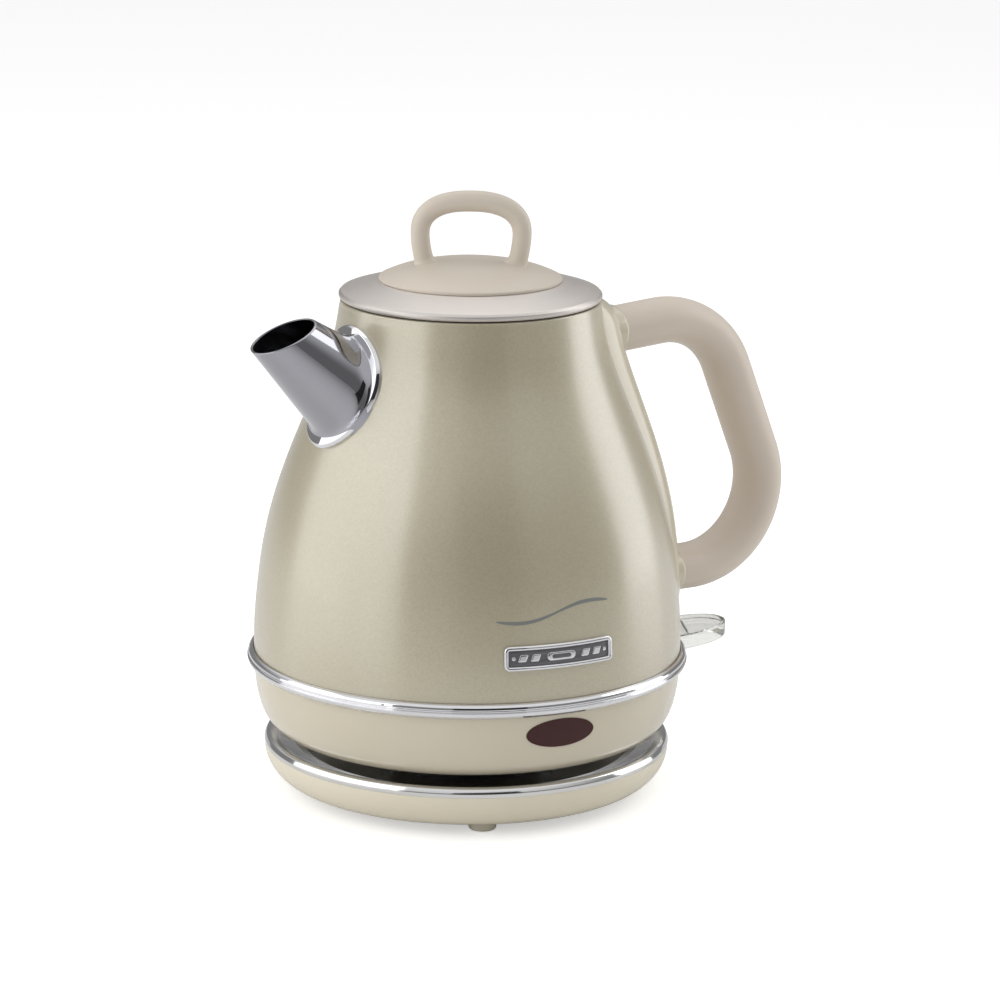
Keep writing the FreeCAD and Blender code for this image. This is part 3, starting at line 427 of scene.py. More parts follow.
finish = {
    "pearl": pearlMaterial(),
    "chrome": metalMaterial("brightChrome", (0.74, 0.74, 0.76), 0.05, streak=0.01, scatter=0.01, bump=0.003),
    # The spout is chrome like the collar, drawn at half its brightness: painted shade for the dark
    # surroundings it reflects
    "spout": metalMaterial("shadedSpoutChrome", (0.37, 0.37, 0.40), 0.08, streak=0.05, scatter=0.03, bump=0.02),
    # The tray is the housing's cream plastic drawn lighter: painted light standing in for light thrown up
    # from the floor below
    "tray": plasticMaterial("floorLitTrayCream", (0.74, 0.68, 0.54), 0.24, pits=0.05, wave=0.5, bump=0.10,
                            Coat_Weight=0.4, Coat_Roughness=0.10),
    "cream": plasticMaterial("creamGloss", (0.60, 0.545, 0.425), 0.22, pits=0.05, wave=0.5, bump=0.10,
                             Coat_Weight=0.6, Coat_Roughness=0.08),
    "lidCream": plasticMaterial("lidCream", (0.63, 0.565, 0.48), 0.34, pits=0.05, wave=0.5, bump=0.10,
                                Specular_IOR_Level=0.35),
    "grip": plasticMaterial("gripSoft", (0.63, 0.55, 0.465), 0.46, pits=1.0, wave=0.1, bump=0.35,
                            Sheen_Weight=0.15),
    "lidSteel": metalMaterial("lidSatin", (0.64, 0.60, 0.57), 0.44, streak=0.10, scatter=0.12, bump=0.08),
    "plate": metalMaterial("plateBright", (0.72, 0.72, 0.72), 0.09, streak=0.06, scatter=0.05, bump=0.03),
    "steel": metalMaterial("innerSteel", (0.56, 0.56, 0.56), 0.28, streak=0.12, scatter=0.10, bump=0.08),
    "aluminium": metalMaterial("castAluminium", (0.72, 0.72, 0.74), 0.4, streak=0.15, scatter=0.1, bump=0.1),
    "brass": metalMaterial("contactBrass", (0.72, 0.53, 0.25), 0.25, streak=0.1, scatter=0.1, bump=0.05),
    "dark": plasticMaterial("darkMoulding", (0.035, 0.035, 0.037), 0.45, pits=0.8, bump=0.25),
    "badgeField": plasticMaterial("badgeField", (0.16, 0.16, 0.17), 0.35, pits=1.0, bump=0.5, pitSize=3000.0,
                                  Metallic=0.7),
    "rubber": plasticMaterial("sealRubber", (0.16, 0.16, 0.16), 0.6, pits=0.6, bump=0.2),
    "foot": plasticMaterial("footRubber", (0.58, 0.54, 0.44), 0.5, pits=0.6, bump=0.2),
    "clear": plasticMaterial("clearPlastic", (0.93, 0.93, 0.90), 0.05, drift=0.01, smudge=0.02, pits=0.05,
                             bump=0.05, Transmission_Weight=0.92, IOR=1.49),
    "clearRib": plasticMaterial("clearRib", (0.42, 0.42, 0.40), 0.10, drift=0.01, pits=0.05, bump=0.05,
                                Transmission_Weight=0.35, IOR=1.49),
    "lens": plasticMaterial("redLens", (0.040, 0.004, 0.004), 0.20, pits=0.3, bump=0.1,
                            Specular_IOR_Level=0.35),
    "lamp": plasticMaterial("lampGlass", (0.9, 0.75, 0.6), 0.08, pits=0.02, Transmission_Weight=0.8),
    # A dark steel for the inside of the spout: painted shade in the bore
    "shadedBoreSteel": metalMaterial("shadedBoreSteel", (0.20, 0.20, 0.22), 0.22, streak=0.10, scatter=0.08, bump=0.04),
    "mark": plasticMaterial("greyPrint", (0.19, 0.205, 0.19), 0.4, pits=0.5, bump=0.2),
}

slotFinish = {
    "body_paint": "pearl", "chrome": "chrome", "cream_plastic": "cream", "grip_plastic": "grip",
    "lid_steel": "lidSteel", "plate_steel": "plate", "inner_steel": "steel",
    "spreader_aluminium": "aluminium", "brass": "brass", "dark_plastic": "dark", "clear_plastic": "clear",
    "red_lens": "lens", "lamp_glass": "lamp", "seal_rubber": "rubber", "foot_rubber": "foot",
    "screw_steel": "steel",
}
slotOf = {part["node"]: part["material_slot"] for part in frame["record"]["subparts"]}
for nodeName, node in nodes.items():
    node.data.materials.clear()
    node.data.materials.append(finish[slotFinish[slotOf[nodeName]]])

# Pieces
# A merged, smooth-shaded copy of a frame node that takes its place.
def smoothCopy(nodeName, newName, sharpAngle=32, material=None, bevel=0.0):
    source = nodes[nodeName]
    mesh = source.data.copy()
    mesh.name = newName
    mesh.transform(source.matrix_world)
    work = bmesh.new()
    work.from_mesh(mesh)
    bmesh.ops.remove_doubles(work, verts=work.verts, dist=2e-6)
    bmesh.ops.dissolve_limit(work, angle_limit=math.radians(0.4), verts=work.verts, edges=work.edges)
    work.to_mesh(mesh)
    work.free()
    smoothed(mesh, sharpAngle)
    piece = shown(newName, mesh)
    if bevel:
        edge = piece.modifiers.new("edge", "BEVEL")
        edge.width, edge.segments, edge.limit_method = bevel * mm, 3, "ANGLE"
        edge.angle_limit = math.radians(sharpAngle)
        edge.harden_normals = True
        settled(piece)
    even = piece.modifiers.new("even", "WEIGHTED_NORMAL")
    even.keep_sharp = True
    settled(piece)
    piece.data.materials.clear()
    piece.data.materials.append(material or finish[slotFinish[slotOf[nodeName]]])
    return piece


def faceData(piece):
    mesh = piece.data
    normal, centre = np.empty(len(mesh.polygons) * 3), np.empty(len(mesh.polygons) * 3)
    mesh.polygons.foreach_get("normal", normal)
    mesh.polygons.foreach_get("center", centre)
    return normal.reshape(-1, 3), centre.reshape(-1, 3)


# Gives the masked faces a second material.
def secondMaterial(piece, mask, material):
    piece.data.materials.append(material)
    piece.data.polygons.foreach_set("material_index", np.where(mask, len(piece.data.materials) - 1, 0))
    piece.data.update()


print("body")
bodyShape = {
    "footZ": 47.3, "topZ": 181.0, "wideRadius": 78.15, "neckRadius": 46.97, "wall": 0.8,
    "mouthRadius": 43.0, "rows": 110,
    "up": (0, 0.095, 0.207, 0.319, 0.432, 0.544, 0.656, 0.768, 0.880, 1),
    "wide": (1, 1, 0.964, 0.901, 0.794, 0.641, 0.453, 0.256, 0.092, 0),
}


# Neck radius plus the flare times a smooth curve through the bell's shares of height.
def bodyRadius(z):
    shape = bodyShape
    up = (np.asarray(z, float) - shape["footZ"]) / (shape["topZ"] - shape["footZ"])
    wide = smoothSpline(shape["up"], shape["wide"], up)
    return shape["neckRadius"] + (shape["wideRadius"] - shape["neckRadius"]) * wide


spoutShape = {
    "rootZ": 153.8, "elevation": 39.75, "taper": 10.9, "rootRadius": 17.3, "wall": 0.9,
    "mouthX": -74.9, "mouthZ": 174.8, "mouthElevation": 67.0, "inside": 6.0,
    "seatElevation": 19.0, "collarRise": 0.2, "collarRadius": 22.6, "collarNarrow": 0.89,
    "collarHeight": 2.3,
    "collarInner": 16.5, "collarFlat": (18.6, 21.7), "flare": 1.7, "flareHeight": 1.1,
    "seatRound": 118.0,  # twice the body's radius beside the collar
}


# Axis towards the spout's side raised by elevation, with two directions square to it.
def spoutAxes(elevation):
    angle = math.radians(elevation)
    axis = np.array((-math.cos(angle), 0, math.sin(angle)))
    return axis, np.array((0, 1.0, 0)), np.array((math.sin(angle), 0, math.cos(angle)))


# Point of the body, on the spout's side, at a height.
def spoutRoot(z):
    return np.array((-float(bodyRadius(z)), 0, z))


# Ring of the spout's cone, grown by offset, at a distance along its axis.
def spoutRing(offset, along, segments=128):
    shape = spoutShape
    axis, side, up = spoutAxes(shape["elevation"])
    root = spoutRoot(shape["rootZ"])
    angle = np.linspace(0, 2 * math.pi, segments, endpoint=False)
    radius = shape["rootRadius"] + offset - along * math.tan(math.radians(shape["taper"]))
    return root + axis * along + radius * (side * np.cos(angle)[:, None] + up * np.sin(angle)[:, None])


def makeBody():
    shape = bodyShape
    z = np.linspace(shape["footZ"], shape["topZ"], shape["rows"])
    outer = np.stack([bodyRadius(z), z], 1)[:-2]
    neck, top, wall, mouth = shape["neckRadius"], shape["topZ"], shape["wall"], shape["mouthRadius"]
    rim = softOutline([(neck + 0.02, top - 1.2, 0), (neck, top, 0.7), (mouth, top, 0.3),
                       (mouth, top - wall, 0.25), (neck - wall, top - wall, 0.3),
                       (neck - wall, top - 2.5, 0)])
    inner = (outer - (wall, 0))[::-1]
    inner = inner[inner[:, 1] < top - 2.6]
    outline = np.concatenate([outer[outer[:, 1] < top - 1.3], rim, inner]) * mm
    body = spun("bodySkin", outline, finish["pearl"], segments=224)
    hole = [spoutRing(-spoutShape["wall"], t) for t in (-14, 14)]
    rows = [hole[0] * 0 + hole[0].mean(0), *hole, hole[1] * 0 + hole[1].mean(0)]
    carved(body, gridPiece("cutter", np.stack(rows) * mm, finish["steel"]))
    normal, centre = faceData(body)
    away = np.hypot(centre[:, 0], centre[:, 1])
    outward = (normal[:, :2] * centre[:, :2]).sum(1) / away
    inside = away < (bodyRadius(centre[:, 2] / mm) - 0.5 * shape["wall"]) * mm
    inside &= (outward < 0.3) & (centre[:, 2] < (top - 0.3) * mm)
    secondMaterial(body, inside, finish["steel"])
    placed(body, "kettle", "body_paint", "body_shell")


makeBody()

print("spout")


def makeSpout():
    shape = spoutShape
    axis = spoutAxes(shape["elevation"])[0]
    facing = spoutAxes(shape["mouthElevation"])[0]
    mouth = np.array((shape["mouthX"], 0, shape["mouthZ"]))

    # A side line of the cone, from a depth inside the body to where it meets the mouth's plane
    def sideLines(offset, depth, shares):
        start = spoutRing(offset, -depth)
        slope = spoutRing(offset, 1 - depth) - start
        reach = ((mouth - start) @ facing) / (slope @ facing)
        return start + slope * (reach[:, None] * np.asarray(shares)[:, None, None])

    shares = np.linspace(0, 1, 70)
    outer = sideLines(0, shape["inside"], shares)
    # Flare onto the collar: out from the axis by flare * exp(-height over the collar / flareHeight)
    seat = spoutAxes(shape["seatElevation"])[0]
    root = spoutRoot(shape["rootZ"])
    over = (outer - root) @ seat + outer[..., 1] ** 2 / shape["seatRound"] - shape["collarHeight"]
    away = outer - root
    away -= (away @ axis)[..., None] * axis
    away /= np.linalg.norm(away, axis=-1)[..., None]
    outer = outer + away * (shape["flare"] * np.exp(-np.maximum(over, 0) / shape["flareHeight"]))[..., None]
    inner = sideLines(-shape["wall"], shape["inside"], shares)[::-1]
    half, centre = (outer[-1] - inner[0]) / 2, (outer[-1] + inner[0]) / 2
    turn = np.linspace(0, math.pi, 9)[1:-1][:, None, None]
    lip = centre + half * np.cos(turn) + axis * np.linalg.norm(half, axis=1)[:, None] * np.sin(turn)
    # The tube's outside takes the darkened spout chrome: painted shade
    tube = gridPiece("spoutTube", np.concatenate([outer, lip, inner]) * mm, finish["spout"],
                     closeRows=True, sharpAngle=50)
    normal, centres = faceData(tube)
    root = spoutRoot(shape["rootZ"]) * mm
    away = centres - root
    away -= (away @ axis)[:, None] * axis
    # Faces inside the tube take the dark steel: painted shade in the bore
    secondMaterial(tube, (normal * away).sum(1) < 0, finish["shadedBoreSteel"])
    placed(tube, "kettle", "chrome", "spout_tube")


# A flange that lies on the body: for each point of a round outline, the body's surface
# there plus a height along the seat's own axis.
def makeCollar():
    shape = spoutShape
    axis, side, up = spoutAxes(shape["seatElevation"])
    root = spoutRoot(shape["rootZ"] + shape["collarRise"])
    edge, high, inner = shape["collarRadius"], shape["collarHeight"], shape["collarInner"]
    start, end = shape["collarFlat"]
    profile = softOutline([(inner, -0.6, 0), (inner, high - 0.5, 0.2), (start, high, 0.8),
                           (end, high - 0.15, 0.9), (edge, high - 1.3, 0.5), (edge, -0.6, 0.1)])
    angle = np.linspace(0, 2 * math.pi, 160, endpoint=False)
    radius = profile[:, 0][:, None] * np.ones(len(angle))
    share = np.clip((profile[:, 0] - inner) / (edge - inner), 0, 1)[:, None]
    across = side * np.cos(angle)[:, None] * (1 - (1 - shape["collarNarrow"]) * share)[..., None]
    flat = root + radius[..., None] * (across + up * np.sin(angle)[:, None])
    y, z = flat[..., 1], flat[..., 2]
    x = -np.sqrt(np.maximum(bodyRadius(z) ** 2 - y ** 2, 0))
    grid = np.stack([x, y, z], -1) + axis * profile[:, 1][:, None, None]
    collar = gridPiece("spoutCollar", grid * mm, finish["chrome"], closeRows=True, sharpAngle=50)
    placed(collar, "kettle", "chrome", "spout_collar")


makeSpout()
makeCollar()

print("rings")
trimCorners = [(75.25, 46.3, 0), (78.45, 46.3, 0.1), (79.45, 46.8, 0.4), (80.35, 47.7, 0.6),
               (80.65, 48.5, 0.6), (80.65, 49.06, 0.15), (80.1, 49.22, 0.1), (80.1, 49.58, 0.1),
               (80.35, 50.1, 0.4), (80.2, 50.9, 0.6), (79.6, 51.6, 0.5), (78.9, 51.95, 0.3),
               (78.45, 52, 0.05), (78.45, 47.3, 0.1), (75.25, 47.3, 0)]
plateCorners = [(74.2, 16.1, 0.1), (74.5, 17.6, 1.2), (73.7, 19.2, 0.9), (72.3, 19.8, 1.0), (69.8, 19.1, 1.5),
                (63, 16.1, 4.0), (60, 15.5, 1.5), (27.3, 15.5, 0.3), (27.3, 14.7, 0), (60, 14.7, 1),
                (69.4, 18.3, 1), (72.3, 19.0, 0.5), (73.4, 16.1, 0.1)]
trimRing = spun("trimRing", softOutline(trimCorners) * mm, finish["chrome"], 224)
placed(trimRing, "kettle", "chrome", "body_trim_ring")
basePlate = spun("basePlate", softOutline(plateCorners) * mm, finish["plate"], 224)
placed(basePlate, "base", "plate_steel", "base_plate")
placed(smoothCopy("lower_housing", "lowerHousing"), "kettle", "cream_plastic", "lower_housing")
# The tray takes the lighter cream: painted light from the floor below
placed(smoothCopy("base_tray", "baseTray", material=finish["tray"]), "base", "cream_plastic", "base_tray")
for number in (1, 2, 3):
    placed(smoothCopy("foot_%d" % number, "foot%d" % number, bevel=0.5), "base", "foot_rubber",
           "foot_%d" % number)

print("lid")
lidShape = {
    "radius": 47.5, "rimZ": 181.6, "rimHeight": 2.6, "discZ": 188.0, "discRadius": 33.0, "domeRise": 7.3,
    "turn": -33.0, "loopHalf": 18.3, "loopWideZ": 204.5, "loopTopZ": 216.45, "loopSquare": 2.4,
    "loopRadius": 3.42, "topSwell": 0.36, "footLean": 2.4, "footFlare": 1.5,
}


# Natural cubic splines of each coordinate over the length of the chords.
def curveThrough(points, count):
    points = np.array(points, float)
    length = np.concatenate([[0], np.cumsum(np.linalg.norm(np.diff(points, axis=0), axis=1))])
    at = np.linspace(0, length[-1], count)
    return np.stack([smoothSpline(length, points[:, k], at) for k in range(points.shape[1])], 1)


# Oval sections along a flat path: centre + inward * halfIn cos a + sideways * halfSide sin a,
# where inward is square to the path in its own plane; both ends are drawn to a point.
def sweptGrid(path, sideways, halfIn, halfSide, segments=48):
    path = np.asarray(path, float)
    heading = np.gradient(path, axis=0)
    heading /= np.linalg.norm(heading, axis=1)[:, None]
    inward = np.cross(sideways, heading)
    angle = np.linspace(0, 2 * math.pi, segments, endpoint=False)
    halfIn = np.broadcast_to(halfIn, len(path))[:, None, None]
    halfSide = np.broadcast_to(halfSide, len(path))[:, None, None]
    rings = path[:, None] + inward[:, None] * np.cos(angle)[:, None] * halfIn \
        + np.asarray(sideways) * np.sin(angle)[:, None] * halfSide
    first = np.broadcast_to(path[0], rings[:1].shape)
    last = np.broadcast_to(path[-1], rings[:1].shape)
    return np.concatenate([first, rings, last])


# One piece out of several, keeping their materials.
def joined(name, pieces):
    bpy.ops.object.select_all(action="DESELECT")
    for piece in pieces:
        piece.select_set(True)
    bpy.context.view_layer.objects.active = pieces[0]
    bpy.ops.object.join()
    pieces[0].name = name
    return pieces[0]


def makeLid():
    shape = lidShape
    edge, rim, disc = shape["radius"], shape["rimZ"], shape["discRadius"]
    top = rim + shape["rimHeight"]
    capCorners = [(edge - 0.6, rim, 0.2), (edge, rim + 0.7, 0.4), (edge, top - 0.9, 0.4),
                  (edge - 0.8, top, 0.7), (disc + 0.6, shape["discZ"], 0.4), (26, shape["discZ"], 0),
                  (26, shape["discZ"] - 1.2, 0), (disc + 0.4, shape["discZ"] - 1.2, 0),
                  (edge - 1.6, top - 1.2, 0.3), (edge - 1.6, rim, 0.1)]
    cap = spun("lidCap", softOutline(capCorners) * mm, finish["lidSteel"], 192)
    placed(cap, "lid", "lid_steel", "lid_cap")
    base, rise = shape["discZ"], shape["domeRise"]
    dome = curveThrough([(disc - 0.35, base + 1.25), (0.85 * disc, base + 0.44 * rise),
                         (0.61 * disc, base + 0.74 * rise), (0.30 * disc, base + 0.94 * rise),
                         (0, base + rise), (-0.30 * disc, base + 0.94 * rise)], 90)
    dome = dome[dome[:, 0] > 0.2]
    outline = np.concatenate([[(0, base), (disc - 0.2, base), (disc, base + 0.2), (disc, base + 0.85),
                               (disc - 0.12, base + 1.1)], dome, [(0, base + rise)]])
    button = spun("button", outline * mm, finish["lidCream"], 192, closeRows=False, sharpAngle=50)
    # Loop: a rounded arch over legs that draw in towards the disc
    wide, middle, high = shape["loopHalf"], shape["loopWideZ"], shape["loopTopZ"]
    drop = np.linspace(0, 1, 30)[::-1]
    leg = np.stack([wide - shape["footLean"] * (drop * (middle - base - 1) / 13) ** 1.7,
                    middle - drop * (middle - base - 1)], 1)
    turn = np.linspace(0, math.pi, 80)[1:-1]
    power = 2 / shape["loopSquare"]
    arch = np.stack([wide * np.sign(np.cos(turn)) * np.abs(np.cos(turn)) ** power,
                     middle + (high - middle) * np.sin(turn) ** power], 1)
    line = curveThrough(np.concatenate([leg, arch, leg[::-1] * (-1, 1)]), 150)
    along = math.radians(shape["turn"])
    forward = np.array((math.cos(along), math.sin(along), 0))
    sideways = np.array((-math.sin(along), math.cos(along), 0))
    path = forward * line[:, 0][:, None] + np.array((0, 0, 1)) * line[:, 1][:, None]
    surface = base + rise * (1 - (np.abs(line[:, 0]) / disc) ** 2)
    above = np.maximum(line[:, 1] - surface, 0)
    swell = shape["topSwell"] * np.clip((line[:, 1] - middle) / (high - middle), 0, 1)
    radius = shape["loopRadius"] + swell + shape["footFlare"] * np.exp(-above / 0.9)
    loop = gridPiece("loop", sweptGrid(path, sideways, radius, radius) * mm, finish["lidCream"])
    placed(joined("lidKnob", [button, loop]), "lid", "cream_plastic", "lid_knob")


makeLid()

print("handle")
handleShape = {
    "topZ": 165.3, "bottomZ": 69.8, "reach": 127.5, "bend": 31.0, "lean": 22.4, "thick": 8.5, "wide": 10.6,
    "rootDrop": 1.6, "topRise": 1.9, "spineBottom": 54.0, "spineTop": 179.0, "spineHalf": 18.0,
    "faceHalf": 9.5, "faceShare": 0.84, "spineDepth": 11.2, "spineRamp": 12.0, "bossHeight": 0.4,
    "bossRim": 0.6,
}


# Straight runs joined by tangent arcs, as points about a step apart.
def bentPath(corners, bend, step=1.0):
    corners = np.array(corners, float)
    points, start = [], corners[0]
    for before, corner, after in zip(corners, corners[1:], corners[2:]):
        coming, going = ((v / np.linalg.norm(v)) for v in (before - corner, after - corner))
        half = math.acos(float(coming @ going)) / 2
        middle = coming + going
        centre = corner + middle / np.linalg.norm(middle) * bend / math.sin(half)
        first, last = (corner + v * bend / math.tan(half) for v in (coming, going))
        count = max(int(np.linalg.norm(first - start) / step), 3)
        points.append(start + (first - start) * np.linspace(0, 1, count, endpoint=False)[:, None])
        a, b = (math.atan2(*(p - centre)[::-1]) for p in (first, last))
        sweep = (b - a + math.pi) % (2 * math.pi) - math.pi
        count = max(int(abs(sweep) * bend / step), 8)
        angle = a + sweep * np.linspace(0, 1, count, endpoint=False)
        points.append(centre + bend * np.stack([np.cos(angle), np.sin(angle)], 1))
        start = last
    points.append(start + (corners[-1] - start) * np.linspace(0, 1, 20)[:, None])
    return np.concatenate(points)


def makeGrip():
    shape = handleShape
    lean = math.radians(shape["lean"])
    low = shape["reach"] - shape["bend"] + shape["bend"] * math.tan(math.pi / 4 + lean / 2)
    high = low - (shape["topZ"] - shape["bottomZ"]) * math.tan(lean)
    root = shape["spineDepth"] + shape["bossHeight"] - 2.5
    start = shape["topZ"] - shape["rootDrop"]
    corners = [(float(bodyRadius(start)) + root, start), (high, shape["topZ"] + shape["topRise"]),
               (low, shape["bottomZ"]), (float(bodyRadius(shape["bottomZ"])) + root, shape["bottomZ"])]
    flat = bentPath(corners, shape["bend"])
    path = np.stack([flat[:, 0], 0 * flat[:, 0], flat[:, 1]], 1)
    grip = gridPiece("gripTube", sweptGrid(path, (0, 1.0, 0), shape["thick"], shape["wide"], 64) * mm,
                     finish["grip"])
    placed(grip, "kettle", "grip_plastic", "handle_grip")


# Strip on the body: its face is crowned, depth(z) times 1 - (1 - faceShare)(y / faceHalf)^2, its flanks
# fall from the crease to the body, and depth is a quarter circle at each end; an oval boss stands on it
# round each end of the grip.
def makeSpine():
    shape = handleShape
    half, face, share = shape["spineHalf"], shape["faceHalf"], shape["faceShare"]
    rise = (1 - np.cos(np.linspace(0, math.pi, 140))) / 2
    z = shape["spineBottom"] + (shape["spineTop"] - shape["spineBottom"]) * rise
    near = np.minimum(1, np.minimum(z - shape["spineBottom"], shape["spineTop"] - z) / shape["spineRamp"])
    depth = shape["spineDepth"] * np.sqrt(np.maximum(1 - (1 - near) ** 2, 0))
    flank = half - (half - face) * np.linspace(0, 1, 12) ** 1.3
    y = np.concatenate([-flank, np.linspace(-face, face, 21)[1:-1], flank[::-1]])
    crown = 1 - (1 - share) * (y / face) ** 2
    slope = np.clip((half - np.abs(y)) / (half - face), 0, 1)
    form = np.where(np.abs(y) <= face, crown, share * np.sin(slope * math.pi / 2) ** 0.8)
    seat = np.sqrt(bodyRadius(z)[:, None] ** 2 - y ** 2)
    outer = seat + 0.1 + depth[:, None] * form
    x = np.concatenate([outer, (seat + 0.1)[:, ::-1]], 1)
    across = np.broadcast_to(np.concatenate([y, y[::-1]]), x.shape)
    grid = np.stack([x, across, np.broadcast_to(z[:, None], x.shape)], -1)
    pieces = [gridPiece("strip", grid * mm, finish["cream"], sharpAngle=40)]
    angle = np.linspace(0, 2 * math.pi, 72, endpoint=False)
    for height in (shape["topZ"] - shape["rootDrop"] + 0.4, shape["bottomZ"]):
        root = float(bodyRadius(height)) + shape["spineDepth"] + shape["bossHeight"]
        steps = [(-9, 20), (-9, 0), (-1.1, 0), (-0.5, 0.12), (-0.15, 0.4), (0, 0.9), (0, 20)]
        rows = []
        for back, inset in steps:
            wide = max(shape["wide"] + shape["bossRim"] - inset, 0)
            high = max(shape["thick"] + shape["bossRim"] - inset, 0)
            rows.append(np.stack([0 * angle + root + back, wide * np.cos(angle),
                                  height + high * np.sin(angle)], 1))
        pieces.append(gridPiece("boss", np.stack(rows) * mm, finish["cream"]))
    placed(joined("handleSpine", pieces), "kettle", "cream_plastic", "handle_spine")


makeGrip()
makeSpine()

print("switch, light and badge")
leverShape = {
    "rootX": 75.6, "tipX": 113.2, "half": 12.0, "tipLength": 20.0, "topZ": 46.0, "bottomZ": 40.0,
    "rimWidth": 1.5, "recess": 1.1, "ribs": (88.5, 96.0), "ribSlant": 0.45, "ribHalf": 8.2, "ribWide": 0.55,
    "ribHigh": 0.45, "tilt": 0.055, "tiltFrom": 81.0, "hubCut": 76.2,
}


def makeLever():
    # Closed outline: straight sides, then half an ellipse round the tip
    shape = leverShape
    turn = np.linspace(-math.pi / 2, math.pi / 2, 61)
    centre = shape["tipX"] - shape["tipLength"]

    def ring(inset, z):
        half, length = shape["half"] - inset, shape["tipLength"] - inset
        tip = np.stack([centre + length * np.cos(turn), half * np.sin(turn)], 1)
        side = np.linspace(centre, shape["rootX"] + inset, 14)[1:]
        flat = np.concatenate([tip, np.stack([side, 0 * side + half], 1),
                               np.stack([side[::-1], 0 * side - half], 1)])
        return np.column_stack([flat, np.full(len(flat), z)])

    low, top, rim, deep = shape["bottomZ"], shape["topZ"], shape["rimWidth"], shape["recess"]
    steps = [(0.9, low), (0.25, low + 0.25), (0, low + 0.9), (0, top - 0.6), (0.18, top - 0.18), (0.6, top),
             (rim - 0.2, top), (rim, top - 0.2), (rim + 0.15, top - deep)]
    rows = [ring(inset, z) for inset, z in steps]
    spine = np.array((0.5 * (shape["rootX"] + shape["tipX"]), 0))
    floors = []
    for share in (0.75, 0.5, 0.25, 0.0):
        inner = rows[-1].copy()
        inner[:, :2] = spine + (inner[:, :2] - spine) * share
        floors.append(inner)
    base = [row * (1, 1, 0) + (0, 0, low) for row in floors[::-1]]
    paddle = gridPiece("paddle", np.stack(base + rows + floors) * mm, finish["clear"], sharpAngle=50)
    ribs = []
    turnRib = np.linspace(0, 2 * math.pi, 24, endpoint=False)
    y = np.linspace(-shape["ribHalf"], shape["ribHalf"], 20)
    taper = np.sqrt(np.maximum(1 - (y / shape["ribHalf"]) ** 4, 0))[:, None]
    for x in shape["ribs"]:
        slanted = x + (y * shape["ribSlant"])[:, None]
        grid = np.stack([slanted + shape["ribWide"] * taper * np.cos(turnRib), y[:, None] + 0 * turnRib,
                         top - deep + shape["ribHigh"] * taper * np.sin(turnRib)], -1)
        ribs.append(gridPiece("rib", grid * mm, finish["clearRib"]))
    # The paddle rises towards its tip: tilt times the distance beyond tiltFrom
    for part in [paddle] + ribs:
        points = np.empty(len(part.data.vertices) * 3)
        part.data.vertices.foreach_get("co", points)
        points = points.reshape(-1, 3)
        points[:, 2] += shape["tilt"] * np.maximum(points[:, 0] - shape["tiltFrom"] * mm, 0)
        part.data.vertices.foreach_set("co", points.ravel())
        part.data.update()
    hub = smoothCopy("switch_lever", "hub")
    work = bmesh.new()
    work.from_mesh(hub.data)
    cut = bmesh.ops.bisect_plane(work, geom=work.verts[:] + work.edges[:] + work.faces[:], dist=1e-7,
                                 plane_co=(shape["hubCut"] * mm, 0, 0), plane_no=(1, 0, 0), clear_outer=True)
    cutEdges = [edge for edge in cut["geom_cut"] if isinstance(edge, bmesh.types.BMEdge)]
    bmesh.ops.holes_fill(work, edges=cutEdges, sides=0)
    work.to_mesh(hub.data)
    work.free()
    placed(joined("switchLever", [paddle, hub] + ribs), "lever", "clear_plastic", "switch_lever")


makeLever()
placed(smoothCopy("indicator_lens", "indicatorLens"), "kettle", "red_lens", "indicator_lens")

badgeShape = {
    "azimuth": -96.0, "z": 68.0, "half": 21.0, "high": 4.4, "corner": 2.0, "rim": 1.7, "relief": 0.95,
    "bars": (-14.2, -9.6, 9.6, 14.2), "slant": 0.35, "studs": (-17.6, 17.6),
}


# Closed outline of a box with arcs for corners and points along its long sides
def roundedBox(half, high, corner, count=8, along=26):
    turn = np.linspace(0, math.pi / 2, count)
    arc = corner * np.stack([np.cos(turn), np.sin(turn)], 1) + (half - corner, high - corner)
    x = np.linspace(half - corner, corner - half, along + 2)[1:-1]
    top = np.concatenate([arc, np.stack([x, 0 * x + high], 1), (arc * (-1, 1))[::-1]])
    return np.concatenate([top, -top])


# Wraps flat points on the body: sideways becomes arc length, height stands out from it.
def onBody(flat, height, azimuth, z):
    up = z + flat[..., 1]
    radius = bodyRadius(up) + height
    turn = math.radians(azimuth) + flat[..., 0] / float(bodyRadius(z))
    return np.stack([radius * np.cos(turn), radius * np.sin(turn), up], -1)


# A low pad with rounded edges that lies on the body.
def badgePad(name, centre, half, high, corner, top, material, slant=0.0):
    shape = badgeShape
    rows = []
    for inset, height in ((0, 0.2), (0, top - 0.2), (0.07, top - 0.05), (0.22, top)):
        rows.append((roundedBox(half - inset, high - inset, max(corner - inset, 0.05)), height))
    rows += [(rows[-1][0] * share, top) for share in (0.7, 0.4, 0.0)]
    rows = [(rows[0][0] * 0, 0.2)] + rows
    grid = np.stack([onBody(box + (centre, 0) + np.stack([box[:, 1] * slant, 0 * box[:, 1]], 1), height,
                            shape["azimuth"], shape["z"]) for box, height in rows])
    return gridPiece(name, grid * mm, material, sharpAngle=50)


